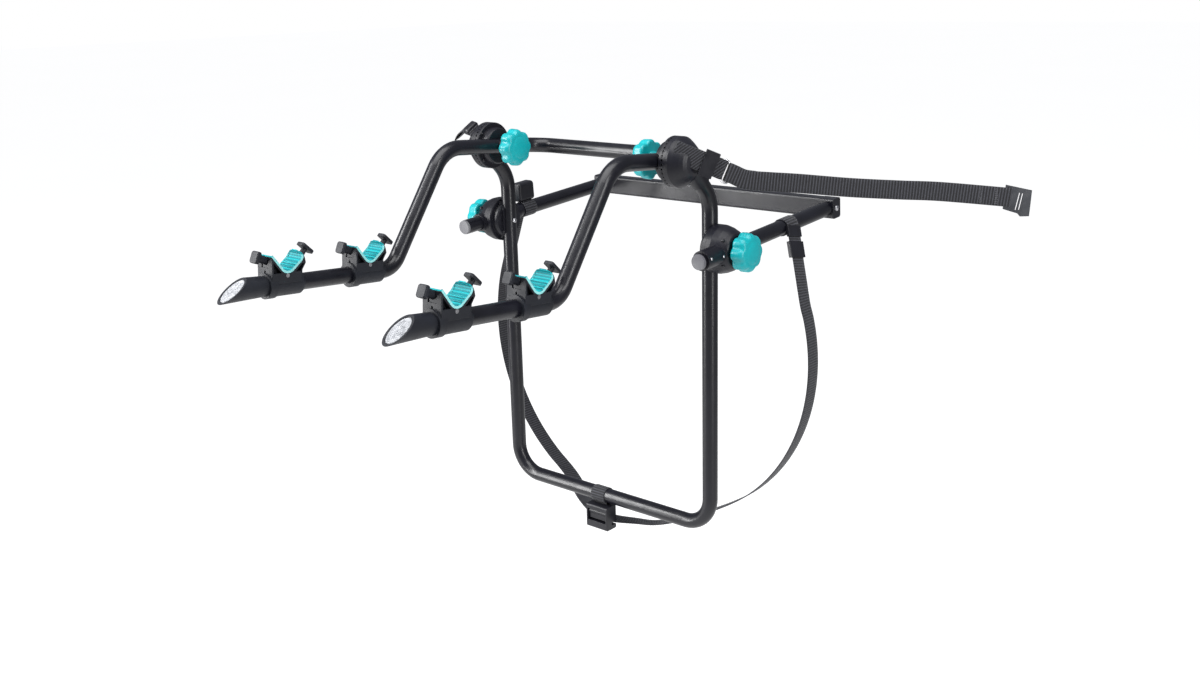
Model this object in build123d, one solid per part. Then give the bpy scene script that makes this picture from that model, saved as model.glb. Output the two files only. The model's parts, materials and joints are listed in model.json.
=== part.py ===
"""Folding two-bicycle carrier that is strapped over a spare wheel.

Origin: the wheel's centre in the plane where the main frame's uprights meet the tyre wall.
X runs across the carrier, Y from the bicycles towards the vehicle, Z up. Millimetres.
"""
from build123d import *
from math import acos, atan2, cos, degrees, pi, radians, sin
import os

# Tubes
TUBE_R = 12.5
WALL = 2.0
SLIDE_FIT = 0.06
SHAFT_FIT = 0.06
GAP = 0.3
SLEEVE_R = 17.0

# Main frame: one bent tube, open side up
FRAME_X = 217.0
FRAME_Y = -TUBE_R
FRAME_FOOT_Z = -260.0
FRAME_CORNER_R = 50.0
FRAME_KNEE_R = 56.5
FRAME_KNEE_DEG = 43.0
TUBE_STOP = 16.0

# Fold axis of the arms, along X
FOLD_Y = -68.5
FOLD_Z = 348.0

# Arm frame: one bent tube, f forward from the fold axis and u up, tilted up by ARM_TILT
ARM_X = 176.7
ARM_TILT = 4.6
ARM_REAR_F = -95.7
ARM_KNEE_F = 126.7
ARM_DROP_F = 235.9
ARM_DROP_U = -184.5
ARM_END_F = 485.6
ARM_REAR_R = 37.5
ARM_KNEE_R = 60.0
ARM_DROP_R = 37.5

# Cradles, in s back along the arm tube from the cradle's reference and h above the tube's axis
CRADLE_F = (440.6, 289.6)
CRADLE_W = 35.0
LINER_T = 2.4
LINER_RIM = (2.4, 1.1)
WALL_CORNER_R = 11.0
WALL_TOP_H = 47.0
GROOVE = ((-28.5, 45.0), (-12.5, 25.5), (-3.2, 20.4), (7.0, 24.4),
          (17.6, 33.3), (21.9, 38.6), (22.8, 43.0), (20.2, 47.0))
CRADLE_SCREW = (-3.4, 14.8)

# Reflector caps on the arm ends, in s and h as the front cradle
CAP_TIP_S = -106.0
CAP_START_S = -33.0
CAP_START_R = 15.0
CAP_END_R = 18.0
SLANT_LOW = (-106.0, -17.0)
SLANT_HIGH = (-68.0, 13.0)

# Hubs on the fold axis
KNOB_R = 30.5
KNOB_LOBES = 10
KNOB_VALLEY = 2.9
KNOB_SCALLOP_R = 6.2
KNOB_DEPTH = 25.0
KNOB_NECK = 5.5
STUD_IN_KNOB = 20.0
SADDLE_X1 = 196.85
SADDLE_R = 30.0
SADDLE_FLANGE = 6.6
SADDLE_SCREW_AT = (26.0, 22.4)
SPACER_X = (161.6, 170.0)
SPACER_R = 13.0
FRAME_DISC_X = (197.15, 204.0)
HUB_R = 38.5
HUB_DOME_X = 232.0
BOLT_R = 4.0
TEETH = 36

# Sliding rear hook: side tubes beside the uprights
SIDE_X = 251.0
SLIDE_Z = 210.0
SLIDE_TILT = 4.1
SIDE_FRONT = -91.0
SIDE_REAR = 294.0
CLAMP_R = 38.0
RIVET_RING_R = 32.4
SLEEVE_REAR = 52.0
SLEEVE_FRONT_RIGHT = -70.0
SLEEVE_FRONT_LEFT = -43.0
HOUSING_SLEEVE_R = 15.4
CLAMP_X = (215.0, 234.0, 269.0)
CLAMP_HALF_H = 26.0
CLAMP_FLARE_H = 35.0
CLAMP_SCREW_R = 3.0
SLEEVE_SCREWS = ((-33.0, 0.0), (-64.0, 4.0))

# Webbing
WEB_W = 30.0
WEB_T = 1.6
TREAD_R = 322.6

# Tyre belt: places along Y, and distances down from the side tube on its straight runs
LOOP_Y = 150.0
LOOP_GAP = 0.35
LEFT_LOOP_Y = 66.0
BELT_SIDE_Y = 125.0
BELT_LEFT_Y = 66.0
BELT_LOW_Y = 0.0
BELT_LOW_X = -12.0
BELT_LOW_Z = -308.6
SHOULDER_W = 52.0
BELT_STEPS = 52
BELT_RUN_RIGHT = 0.66
BELT_RUN_LEFT = 0.84
KEEPER_DOWN = (3.0, 21.0)
LOCK_DOWN = (29.0, 55.0)
LEFT_BLOCK = (22.0, 38.0, 34.0)

# Top strap, in distance along it and height from where it leaves the right hub
STRAP_ROOT = Vector(217.6, -92.0, 366.2)
STRAP_TURN = 40.9
TAB_START = (-6.0, 3.0)
TAB_END = (68.0, -28.5)
KEEPER = (35.0, 54.5)
KEEPER_T = 9.0
LEFT_TAB = ((-209.0, -92.0, 368.5), (-214.0, -91.0, 376.5), (-228.0, -89.0, 378.5), (-256.0, -86.0, 361.0))
LEFT_KEEPER_T = 13.0
LEFT_TAB_ACROSS = Vector(0, 0.88, 0.48)
STRAP_ROUTE = ((74.0, -31.5), (82.0, -35.0), (94.0, -41.0), (108.0, -44.0), (134.5, -46.5), (178.5, -50.3),
               (252.5, -58.2), (327.0, -63.8), (386.0, -67.6), (475.0, -77.4), (492.0, -79.5))
HOOK_OUTLINE = ((484.5, -60.5), (523.5, -69.7), (521.5, -108.5),
                (508.0, -108.5), (504.0, -104.0), (482.0, -96.7))
HOOK_SLOTS = (((493.5, -68.0), (489.5, -94.0)), ((505.5, -73.0), (500.5, -98.5)),
              ((510.0, -74.0), (505.5, -98.5)))

# Foot buckle under the lower bar
FOOT_X = -13.0
FOOT_W = 46.0
FOOT_H = 43.0
FOOT_Y = (-34.0, -8.0)
LEVER_AXIS = (-27.0, -289.0)

TILT = radians(ARM_TILT)
SLIDE = radians(SLIDE_TILT)
SLIDE_DIR = Vector(0, cos(SLIDE), sin(SLIDE))


def arm_point(x, f, u):
    """A point of the arm frame in the carrier's frame."""
    y = FOLD_Y - f * cos(TILT) + u * sin(TILT)
    return Vector(x, y, FOLD_Z + f * sin(TILT) + u * cos(TILT))


def slide_point(x, s, lift=0.0):
    """A point at distance s along a side tube, measured from its clamp."""
    base = Vector(x, FRAME_Y, SLIDE_Z)
    return base + SLIDE_DIR * s + Vector(0, -sin(SLIDE), cos(SLIDE)) * lift


def rod(start, end, radius, end_radius=None):
    """A round bar or cone between two points."""
    axis = end - start
    plane = Plane(origin=start, z_dir=axis)
    if end_radius is None:
        return extrude(plane * Circle(radius), axis.length)
    return loft([plane * Circle(radius), Plane(origin=end, z_dir=axis) * Circle(end_radius)])


def x_rod(x0, x1, y, z, radius):
    """A round bar along X."""
    return rod(Vector(min(x0, x1), y, z), Vector(max(x0, x1), y, z), radius)


def x_turned(profile, y, z):
    """A solid turned about the X axis through (y, z) from (x, r) points."""
    face = make_face(Polyline(*[(x, r) for x, r in profile], close=True))
    return Pos(0, y, z) * revolve(face, Axis.X)


def bent_tube(points, radii):
    """A hollow round tube along straight runs joined by arcs."""
    path = FilletPolyline(*points, radius=radii)
    start = Plane(origin=path @ 0, z_dir=path % 0)
    section = start * (Circle(TUBE_R) - Circle(TUBE_R - WALL))
    return sweep(section, path=path)


def mirrored(shape):
    """The same piece on the other side of the carrier."""
    return mirror(shape, about=Plane.YZ)


def smooth_step(t):
    """An even change from 0 to 1."""
    t = max(0.0, min(1.0, t))
    return t * t * (3 - 2 * t)


def strap(stations, width=WEB_W, thickness=WEB_T):
    """Flat webbing through (centre, width direction) stations."""
    sections = []
    last = len(stations) - 1
    for i, (centre, across) in enumerate(stations):
        before = stations[max(i - 1, 0)][0]
        after = stations[min(i + 1, last)][0]
        plane = Plane(origin=centre, x_dir=across, z_dir=after - before)
        sections.append(plane * Rectangle(width, thickness))
    return loft(sections, ruled=True)


# Main frame

def main_frame_tube():
    """The U-shaped tube that stands against the tyre."""
    knee = radians(FRAME_KNEE_DEG)
    reach = FRAME_Y - FOLD_Y
    knee_z = FOLD_Z - reach / sin(knee) * cos(knee)
    end_y = FOLD_Y + TUBE_STOP * sin(knee)
    end_z = FOLD_Z - TUBE_STOP * cos(knee)
    right = [(FRAME_X, end_y, end_z), (FRAME_X, FRAME_Y, knee_z), (FRAME_X, FRAME_Y, FRAME_FOOT_Z)]
    left = [(-x, y, z) for x, y, z in reversed(right)]
    radii = [FRAME_KNEE_R, FRAME_CORNER_R, FRAME_CORNER_R, FRAME_KNEE_R]
    bore = x_rod(-FRAME_X - 20, FRAME_X + 20, FRAME_Y, SLIDE_Z, CLAMP_SCREW_R + SHAFT_FIT)
    return bent_tube(right + left, radii) - bore


def knee_direction():
    """Unit vector from the fold axis down along the frame tube's top end."""
    knee = radians(FRAME_KNEE_DEG)
    return Vector(0, sin(knee), -cos(knee))


def disc_grooves(x0, x1):
    """Radial grip grooves of a clamp face."""
    grooves = None
    for i in range(TEETH):
        turn = Rot(i * 360 / TEETH, 0, 0)
        cut = Pos(0, FOLD_Y, FOLD_Z) * turn * Pos((x0 + x1) / 2, 0, 34.0) * Box(x1 - x0, 2.6, 10.0)
        grooves = cut if grooves is None else grooves + cut
    return grooves


def hub_disc():
    """The frame's clamp face at the fold axis, right side."""
    x0, x1 = FRAME_DISC_X
    body = x_rod(x0, x1, FOLD_Y, FOLD_Z, HUB_R)
    body = body - disc_grooves(x0 - 0.1, x0 + 1.1)
    return body - x_rod(x0 - 1, x1 + 1, FOLD_Y, FOLD_Z, BOLT_R)


def hub_shell(tab):
    """The domed housing that ends the frame tube, right side, with the slot of its webbing tab."""
    x0 = FRAME_DISC_X[1]
    profile = [(x0, 0), (x0, HUB_R), (x0 + 3, HUB_R), (x0 + 7, 36.0), (x0 + 12, 32.5), (x0 + 17, 28.8),
               (x0 + 22, 24.6), (x0 + 26, 19.6), (HUB_DOME_X, 14.5), (HUB_DOME_X, 0)]
    centre = Vector(FRAME_X, FOLD_Y, FOLD_Z)
    way = knee_direction()
    body = x_turned(profile, FOLD_Y, FOLD_Z)
    body = body + (rod(centre, centre + way * 46, 15.6, 14.6) & Pos(x0 + 50, 0, FOLD_Z) * Box(100, 400, 400))
    body = body - rod(centre + way * TUBE_STOP, centre + way * 80, TUBE_R)
    body = body - x_rod(x0 - 1, HUB_DOME_X + 1, FOLD_Y, FOLD_Z, BOLT_R)
    head = Plane(origin=(HUB_DOME_X - 5.4, FOLD_Y, FOLD_Z), z_dir=(1, 0, 0)) * Circle(7.6)
    return body - extrude(head, 10) - tab


def pivot_bolt():
    """The bolt on the fold axis, right side, with its hexagon head."""
    head_x = HUB_DOME_X - 5.4
    shank = x_rod(138.0, head_x, FOLD_Y, FOLD_Z, BOLT_R)
    face = Plane(origin=(head_x, FOLD_Y, FOLD_Z), z_dir=(1, 0, 0)) * RegularPolygon(7.4, 6)
    return shank + extrude(face, 5.2)


# Arm frame

def arm_tube():
    """The tube of both arms and their rear bar."""
    right = [arm_point(ARM_X, ARM_END_F, ARM_DROP_U), arm_point(ARM_X, ARM_DROP_F, ARM_DROP_U),
             arm_point(ARM_X, ARM_KNEE_F, 0), arm_point(ARM_X, ARM_REAR_F, 0)]
    left = [Vector(-p.X, p.Y, p.Z) for p in reversed(right)]
    radii = [ARM_DROP_R, ARM_KNEE_R, ARM_REAR_R, ARM_REAR_R, ARM_KNEE_R, ARM_DROP_R]
    body = bent_tube(right + left, radii)
    return body - x_rod(-200, 200, FOLD_Y, FOLD_Z, BOLT_R + SHAFT_FIT)


def arm_saddle():
    """The flanged saddle on the outer side of the arm tube at the fold axis, right side."""
    x1 = SADDLE_X1
    flange = x1 - SADDLE_FLANGE
    profile = [(ARM_X, 0), (ARM_X, SADDLE_R - 2), (ARM_X + 2, SADDLE_R), (flange, SADDLE_R + 1),
               (flange, HUB_R - 1), (flange + 1, HUB_R), (x1, HUB_R), (x1, 0)]
    body = x_turned(profile, FOLD_Y, FOLD_Z)
    body = body - rod(arm_point(ARM_X, -70, 0), arm_point(ARM_X, 70, 0), TUBE_R)
    body = body - x_rod(ARM_X - 5, x1 + 5, FOLD_Y, FOLD_Z, BOLT_R + SHAFT_FIT)
    return body - disc_grooves(x1 - 1.1, x1 + 0.1)


def arm_spacer():
    """The spacer between knob and arm tube, hollowed to the tube, right side."""
    x0, x1 = SPACER_X
    body = x_rod(x0, x1, FOLD_Y, FOLD_Z, SPACER_R)
    body = body - rod(arm_point(ARM_X, -70, 0), arm_point(ARM_X, 70, 0), TUBE_R)
    return body - x_rod(x0 - 3, x1 + 3, FOLD_Y, FOLD_Z, BOLT_R + SHAFT_FIT)


def saddle_screws():
    """Screw heads on the inner face of the saddle's flange, right side."""
    seat = SADDLE_X1 - SADDLE_FLANGE
    screws = []
    for way in (1, -1):
        for rise in (1, -1):
            y = FOLD_Y + way * SADDLE_SCREW_AT[0]
            z = FOLD_Z + rise * SADDLE_SCREW_AT[1]
            screws.append(x_turned([(seat - 2.0, 0), (seat - 1.8, 1.2), (seat - 1.2, 2.2), (seat, 2.5),
                                    (seat, 0)], y, z))
    return screws


# Knobs

def knob_body(x_face, x_top, y, z, boss_x):
    """A lobed hand knob from its boss end to its domed top, along X."""
    sign = 1 if x_top > x_face else -1
    rim = KNOB_R
    depth = abs(x_top - x_face)
    profile = [(boss_x, 0), (boss_x, 12.0), (x_face, 13.0), (x_face, rim - 3), (x_face + sign * 3, rim),
               (x_face + sign * depth * 0.58, rim), (x_face + sign * depth * 0.80, rim - 3.5),
               (x_face + sign * depth * 0.94, rim - 11), (x_top, rim - 19), (x_top, 0)]
    body = x_turned(profile, y, z)
    for i in range(KNOB_LOBES):
        a = 2 * pi * (i + 0.5) / KNOB_LOBES
        reach = KNOB_R + KNOB_SCALLOP_R - KNOB_VALLEY
        at_y, at_z = y + reach * cos(a), z + reach * sin(a)
        body = body - x_rod(boss_x - sign * 5, x_top + sign * 5, at_y, at_z, KNOB_SCALLOP_R)
    return body


def upper_knob():
    """The hand knob on the inner side of the fold axis, right side."""
    boss = SPACER_X[0] - GAP
    body = knob_body(150.0, 126.0, FOLD_Y, FOLD_Z, boss)
    return body - x_rod(137.0, boss + 1, FOLD_Y, FOLD_Z, BOLT_R + SHAFT_FIT)


def slide_knob():
    """The hand knob outside the slide housing, right side."""
    x0 = CLAMP_X[2] + GAP
    body = knob_body(x0 + KNOB_NECK, x0 + KNOB_NECK + KNOB_DEPTH, FRAME_Y, SLIDE_Z, x0)
    return body - x_rod(x0 - 1, x0 + STUD_IN_KNOB, FRAME_Y, SLIDE_Z, BOLT_R)


def slide_knob_stud():
    """The threaded stud of the slide knob, right side."""
    tip = SIDE_X + TUBE_R + GAP
    return x_rod(tip, CLAMP_X[2] + GAP + STUD_IN_KNOB, FRAME_Y, SLIDE_Z, BOLT_R)


# Slide housings

def clamp_saddle():
    """The saddle that wraps the upright from its outer side and carries the clamp disc, right side."""
    x0, x1, _ = CLAMP_X
    flange = x1 - SADDLE_FLANGE
    profile = [(x0 + 3, 0), (x0 + 3, SADDLE_R - 2), (x0 + 5, SADDLE_R), (flange, SADDLE_R + 1),
               (flange, CLAMP_R - 1), (flange + 1, CLAMP_R), (x1, CLAMP_R), (x1, 0)]
    body = x_turned(profile, FRAME_Y, SLIDE_Z)
    low, high = [Vector(FRAME_X, FRAME_Y, SLIDE_Z + way * CLAMP_R) for way in (-1, 1)]
    flare = [(x0, 0), (x0, CLAMP_HALF_H), (flange, CLAMP_FLARE_H), (x1 - 2, CLAMP_FLARE_H), (x1 - 2, 0)]
    body = body + (rod(low, high, SLEEVE_R) & x_turned(flare, FRAME_Y, SLIDE_Z))
    body = body - rod(low - Vector(0, 0, 20), high + Vector(0, 0, 20), TUBE_R)
    return body - x_rod(x0, x1 - 2.5, FRAME_Y, SLIDE_Z, CLAMP_SCREW_R + SHAFT_FIT)


def clamp_screw():
    """The screw through the upright into its clamp saddle, right side, with its head on the inner side."""
    seat = FRAME_X - TUBE_R
    shank = x_rod(seat - 0.5, CLAMP_X[1] - 3.0, FRAME_Y, SLIDE_Z, CLAMP_SCREW_R)
    head = x_turned([(seat - 2.6, 0), (seat - 2.6, 2.4), (seat - 1.8, 3.8), (seat, 4.4), (seat, 0)],
                    FRAME_Y, SLIDE_Z)
    return shank + head


def slide_housing(sleeve_front):
    """The housing in which the side tube slides, right side, with its sleeve's front end."""
    _, x1, x2 = CLAMP_X
    profile = [(x1, 0), (x1, CLAMP_R), (x1 + 8, CLAMP_R), (x1 + 18, 35.6), (x1 + 27, 31.8),
               (x2 - 1.5, 27.4), (x2, 25.0), (x2, 0)]
    body = x_turned(profile, FRAME_Y, SLIDE_Z)
    front, rear = slide_point(SIDE_X, sleeve_front), slide_point(SIDE_X, SLEEVE_REAR)
    body = body + rod(front, rear, HOUSING_SLEEVE_R)
    body = body - rod(slide_point(SIDE_X, -95), slide_point(SIDE_X, 70), TUBE_R + SLIDE_FIT)
    for rivet in clamp_rivets():
        body = body - rivet
    return body - x_rod(SIDE_X, x2 + 2, FRAME_Y, SLIDE_Z, 6.0)


def housing_insert():
    """The brass thread insert of the slide housing, right side."""
    x2 = CLAMP_X[2]
    ring = x_rod(SIDE_X + TUBE_R + 0.6, x2, FRAME_Y, SLIDE_Z, 6.0)
    ring = ring - x_rod(SIDE_X, x2 + 2, FRAME_Y, SLIDE_Z, BOLT_R + SHAFT_FIT)
    return ring - rod(slide_point(SIDE_X, -20), slide_point(SIDE_X, 20), TUBE_R + 0.3)


def clamp_rivets():
    """Rivet heads on the housing's domed outer face, right side."""
    seat = CLAMP_X[1] + 25.5
    rivets = []
    for turn in (38, 142, 218, 322):
        a = radians(turn)
        y = FRAME_Y + RIVET_RING_R * cos(a)
        z = SLIDE_Z + RIVET_RING_R * sin(a)
        profile = [(seat - 2, 0), (seat - 2, 2.6), (seat + 1.4, 2.6), (seat + 2.4, 2.2), (seat + 3.1, 1.1),
                   (seat + 3.3, 0)]
        rivets.append(x_turned(profile, y, z))
    return rivets


def sleeve_screws():
    """Screw heads on the outer side of the right housing's front sleeve."""
    seat = SIDE_X + HOUSING_SLEEVE_R
    screws = []
    for s, lift in SLEEVE_SCREWS:
        p = slide_point(SIDE_X, s, lift)
        profile = [(seat - 1.6, 0), (seat - 1.6, 2.4), (seat + 0.6, 2.4), (seat + 1.4, 1.4), (seat + 1.7, 0)]
        screws.append(x_turned(profile, p.Y, p.Z))
    return screws


# Rear hook

def side_tube():
    """The sliding side tube, right side."""
    start = slide_point(SIDE_X, SIDE_FRONT - FRAME_Y + 4)
    end = slide_point(SIDE_X, SIDE_REAR - TUBE_R - FRAME_Y - 6)
    return rod(start, end, TUBE_R) - rod(start, end, TUBE_R - WALL)


def side_cap():
    """The plastic plug in the front end of a side tube, right side."""
    front = slide_point(SIDE_X, SIDE_FRONT - FRAME_Y)
    face = slide_point(SIDE_X, SIDE_FRONT - FRAME_Y + 4)
    neck = slide_point(SIDE_X, SIDE_FRONT - FRAME_Y + 16)
    return rod(front, face, TUBE_R - 0.8, TUBE_R) + rod(face, neck, TUBE_R - WALL)


def rear_bar():
    """The flat-sided bar that lies behind the tyre."""
    base = slide_point(0, SIDE_REAR - TUBE_R - FRAME_Y + 6)
    plane = Plane(origin=base - Vector(SIDE_X - 13, 0, 0), x_dir=SLIDE_DIR, z_dir=(1, 0, 0))
    outer = plane * Pos(0, 0) * RectangleRounded(20.0, 34.0, 4.0)
    inner = plane * Pos(0, 0) * RectangleRounded(16.0, 30.0, 2.0)
    return extrude(outer - inner, 2 * SIDE_X - 26)


def rear_bracket():
    """The elbow that joins a side tube to the rear bar, right side."""
    base = slide_point(SIDE_X, SIDE_REAR - TUBE_R - FRAME_Y + 6)
    plane = Plane(origin=base - Vector(13, 0, 0), x_dir=SLIDE_DIR, z_dir=(1, 0, 0))
    body = extrude(plane * RectangleRounded(24.0, 34.0, 4.0), 27.0)
    body = body + rod(slide_point(SIDE_X, SIDE_REAR - TUBE_R - FRAME_Y - 6), base, TUBE_R)
    return body


def bracket_bolt():
    """The bolt head on a rear bracket's outer face, right side."""
    base = slide_point(SIDE_X + 14, SIDE_REAR - TUBE_R - FRAME_Y + 6)
    return x_turned([(base.X, 0), (base.X, 5.0), (base.X + 1.6, 4.6), (base.X + 3.0, 2.6), (base.X + 3.4, 0)],
                    base.Y, base.Z)


# Cradles

def offset_groove(distance):
    """The groove line moved into the cradle by a distance."""
    moved = []
    for i, (s, h) in enumerate(GROOVE):
        a = GROOVE[max(i - 1, 0)]
        b = GROOVE[min(i + 1, len(GROOVE) - 1)]
        along = Vector(b[0] - a[0], b[1] - a[1], 0).normalized()
        moved.append((s + along.Y * distance, h - along.X * distance))
    return moved


def groove_edges(p):
    """Groove line through eight points: wall, round bottom, wall, round shoulder, lip."""
    return [Line(p[0], p[1]), ThreePointArc(p[1], p[2], p[3]), Line(p[3], p[4]),
            ThreePointArc(p[4], p[5], p[6]), Line(p[6], p[7])]


def cradle_plane(x, f):
    """Sketch plane whose X is s and whose Y is h, at the cradle's middle."""
    return Plane(origin=arm_point(x, f, ARM_DROP_U), x_dir=Vector(0, cos(TILT), -sin(TILT)),
                 z_dir=(1, 0, 0))


def groove_space(plane):
    """All of the room above the liner's under side."""
    low = offset_groove(LINER_T)
    start, end = low[0], low[-1]
    edges = groove_edges(low) + [Line(end, (end[0], 70)), Line((end[0], 70), (start[0], 70)),
                                 Line((start[0], 70), start)]
    return extrude(plane * make_face(Wire(edges)), CRADLE_W, both=True)


def s_rod(plane, p0, p1, radius, end_radius=None):
    """A round bar or cone between two points of a cradle's sketch plane."""
    a = plane.from_local_coords(Vector(p0[0], p0[1], 0))
    b = plane.from_local_coords(Vector(p1[0], p1[1], 0))
    return rod(a, b, radius, end_radius)


def peg(plane, root, head, stem_r, size, thickness):
    """A strap peg: a round stem with a rounded rectangular head square to it."""
    a = plane.from_local_coords(Vector(root[0], root[1], 0))
    b = plane.from_local_coords(Vector(head[0], head[1], 0))
    way = (b - a).normalized()
    stem = rod(a, b, stem_r)
    face = Plane(origin=b - way * thickness / 2, x_dir=(1, 0, 0), z_dir=way)
    plate = extrude(face * RectangleRounded(size[0], size[1], min(size) * 0.24), thickness)
    return stem + fillet(plate.edges().group_by(Axis(b, way))[-1], thickness * 0.3)


def cradle_body(x, f):
    """One moulded cradle with its sleeve round the arm tube and its two pegs."""
    plane = cradle_plane(x, f)
    outline = [(-30, 4), (-30, 43.2), (-27, 43.2), (-27, 36), (0, 22), (18, 33), (22, 43),
               (25.6, 43), (28.2, 30.6), (22, 21), (20.5, 4)]
    block = extrude(plane * make_face(Polyline(*outline, close=True)), CRADLE_W / 2, both=True)
    web = make_face(Polyline((-27, 36), (-27, 43.2), (25.6, 43.2), (18, 20), (0, 12), (-27, 12), close=True))
    block = block + extrude(plane * web, CRADLE_W / 2, both=True)
    front_pocket = ((-27.4, 19.2), (-27.4, 35.4), (-13.6, 19.2))
    rear_pocket = ((9.6, 19.2), (19.6, 19.2), (25.4, 30.0), (22.4, 30.2))
    for outline in (front_pocket, rear_pocket):
        hollow = plane * make_face(Polyline(*outline, close=True))
        block = block - extrude(hollow, CRADLE_W).moved(Pos(CRADLE_W / 2 - 9, 0, 0))
        block = block - extrude(hollow, -CRADLE_W).moved(Pos(9 - CRADLE_W / 2, 0, 0))
    block = block - front_slots(plane) - wall_corners(plane)
    block = block + peg(plane, (-25.0, 35.6), (-45.5, 43.0), 6.0, (17.0, 18.0), 6.0)
    block = block + peg(plane, (23.0, 28.0), (40.6, 49.2), 4.25, (17.0, 24.0), 5.0)
    half = CRADLE_W / 2
    block = block + x_rod(x - half, x + half, screw_point(plane).Y, screw_point(plane).Z, 5.0)
    block = block - groove_space(plane)
    block = block + s_rod(plane, (-20, 0), (25, 0), SLEEVE_R)
    block = block + s_rod(plane, (25, 0), (31, 0), SLEEVE_R, TUBE_R + 0.6)
    block = block + s_rod(plane, (-33, 0), (-20, 0), 19.0)
    block = block - s_rod(plane, (-34, 0), (33, 0), TUBE_R)
    p = screw_point(plane)
    block = block - x_rod(x - half - 1, x + half + 1, p.Y, p.Z, 1.7)
    return block - x_rod(x + half - 2.6, x + half + 1, p.Y, p.Z, 3.2)


def wall_corners(plane):
    """The corners that the rear wall's round top leaves out."""
    reach = WALL_CORNER_R + 4
    centre_h = WALL_TOP_H - WALL_CORNER_R
    lost = None
    for way in (-1, 1):
        edge = way * (CRADLE_W / 2 - WALL_CORNER_R)
        spot = plane * Pos(26, centre_h + reach / 2, edge + way * reach / 2)
        corner = spot * Box(36, reach, reach)
        a = plane.from_local_coords(Vector(5, centre_h, edge))
        b = plane.from_local_coords(Vector(47, centre_h, edge))
        piece = corner - rod(a, b, WALL_CORNER_R)
        lost = piece if lost is None else lost + piece
    return lost


def front_slots(plane):
    """The narrow slot and the shallow pocket of a cradle's front wall."""
    slot = plane * Pos(-30, 17.0) * Rectangle(5.0, 11.0)
    pocket = plane * Pos(-30, 32.5) * Rectangle(2.6, 12.0)
    return extrude(slot, 1.3, both=True) + extrude(pocket, 8.0, both=True)


def screw_point(plane):
    """Where the clamp screw of a cradle crosses its middle plane."""
    return plane.from_local_coords(Vector(CRADLE_SCREW[0], CRADLE_SCREW[1], 0))


def groove_band(top, low):
    """The closed face between two groove lines."""
    edges = groove_edges(top) + [Line(top[-1], low[-1])]
    edges += [Line(low[7], low[6]), ThreePointArc(low[6], low[5], low[4]), Line(low[4], low[3]),
              ThreePointArc(low[3], low[2], low[1]), Line(low[1], low[0]), Line(low[0], top[0])]
    return make_face(Wire(edges))


def cradle_liner(x, f):
    """The soft liner of a cradle, with its raised side rims and cross ribs."""
    plane = cradle_plane(x, f)
    low = offset_groove(LINER_T)
    band = extrude(plane * groove_band(list(GROOVE), low), CRADLE_W / 2, both=True)
    width, rise = LINER_RIM
    rim = extrude(plane * groove_band(offset_groove(-rise), low), CRADLE_W / 2, both=True)
    band = band + (rim - Pos(x, 0, 0) * Box(CRADLE_W - 2 * width, 2000, 2000))
    for i in range(1, 5):
        t = i / 5
        s = GROOVE[0][0] + (GROOVE[1][0] - GROOVE[0][0]) * t
        h = GROOVE[0][1] + (GROOVE[1][1] - GROOVE[0][1]) * t
        band = band + extrude(plane * Pos(s, h) * Circle(1.1), CRADLE_W / 2, both=True)
    for i in range(0, 4):
        t = i / 4
        s = GROOVE[3][0] + (GROOVE[4][0] - GROOVE[3][0]) * t
        h = GROOVE[3][1] + (GROOVE[4][1] - GROOVE[3][1]) * t
        band = band + extrude(plane * Pos(s, h) * Circle(1.1), CRADLE_W / 2, both=True)
    return band - wall_corners(plane)


def cradle_screw(x, f):
    """The clamp screw of a cradle."""
    p = screw_point(cradle_plane(x, f))
    seat = x + CRADLE_W / 2 - 2.6
    head = x_rod(seat, seat + 2.6, p.Y, p.Z, 3.0)
    return head + x_rod(x - CRADLE_W / 2 + 0.2, seat, p.Y, p.Z, 1.7)


# Arm end caps

def slant_frame(plane):
    """Sketch plane on the cap's slanted face, its X across and its Z outwards."""
    low = plane.from_local_coords(Vector(SLANT_LOW[0], SLANT_LOW[1], 0))
    high = plane.from_local_coords(Vector(SLANT_HIGH[0], SLANT_HIGH[1], 0))
    rise = (high - low).normalized()
    out = Vector(1, 0, 0).cross(rise)
    if out.Z < 0:
        out = out * -1
    return Plane(origin=(low + high) * 0.5, x_dir=(1, 0, 0), z_dir=out)


def cap_cone(plane, inset, start_s):
    """The cap's outer cone, or the same cone smaller by an inset."""
    return s_rod(plane, (start_s, 0), (CAP_TIP_S - 4, 0), CAP_START_R - inset, CAP_END_R - inset)


def end_cap(x):
    """The cap on an arm's end, with a slanted and recessed face."""
    plane = cradle_plane(x, CRADLE_F[0])
    slant = slant_frame(plane)
    above = extrude(slant * Rectangle(120, 120), 120)
    room = extrude(slant * Pos(0, 0, -3.2) * Rectangle(120, 120), 120)
    body = cap_cone(plane, 0, CAP_START_S) - above
    body = body - (cap_cone(plane, 2.6, CAP_START_S - 12) & room)
    tube = plane.from_local_coords(Vector(CAP_START_S + 1, 0, 0))
    end = arm_point(x, ARM_END_F, ARM_DROP_U)
    body = body - rod(tube, end, TUBE_R)
    return body


def reflector(x):
    """The reflector plate in an arm's end cap."""
    plane = cradle_plane(x, CRADLE_F[0])
    slant = slant_frame(plane)
    slab = extrude(slant * Pos(0, 0, -3.2) * Rectangle(120, 120), 2.2)
    return cap_cone(plane, 2.6, CAP_START_S - 12) & slab


# Tyre belt and its buckles

def belt_out(turn):
    """Outward direction of the tyre's tread at a turn from straight down."""
    a = radians(turn)
    return Vector(sin(a), 0, -cos(a))


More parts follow.
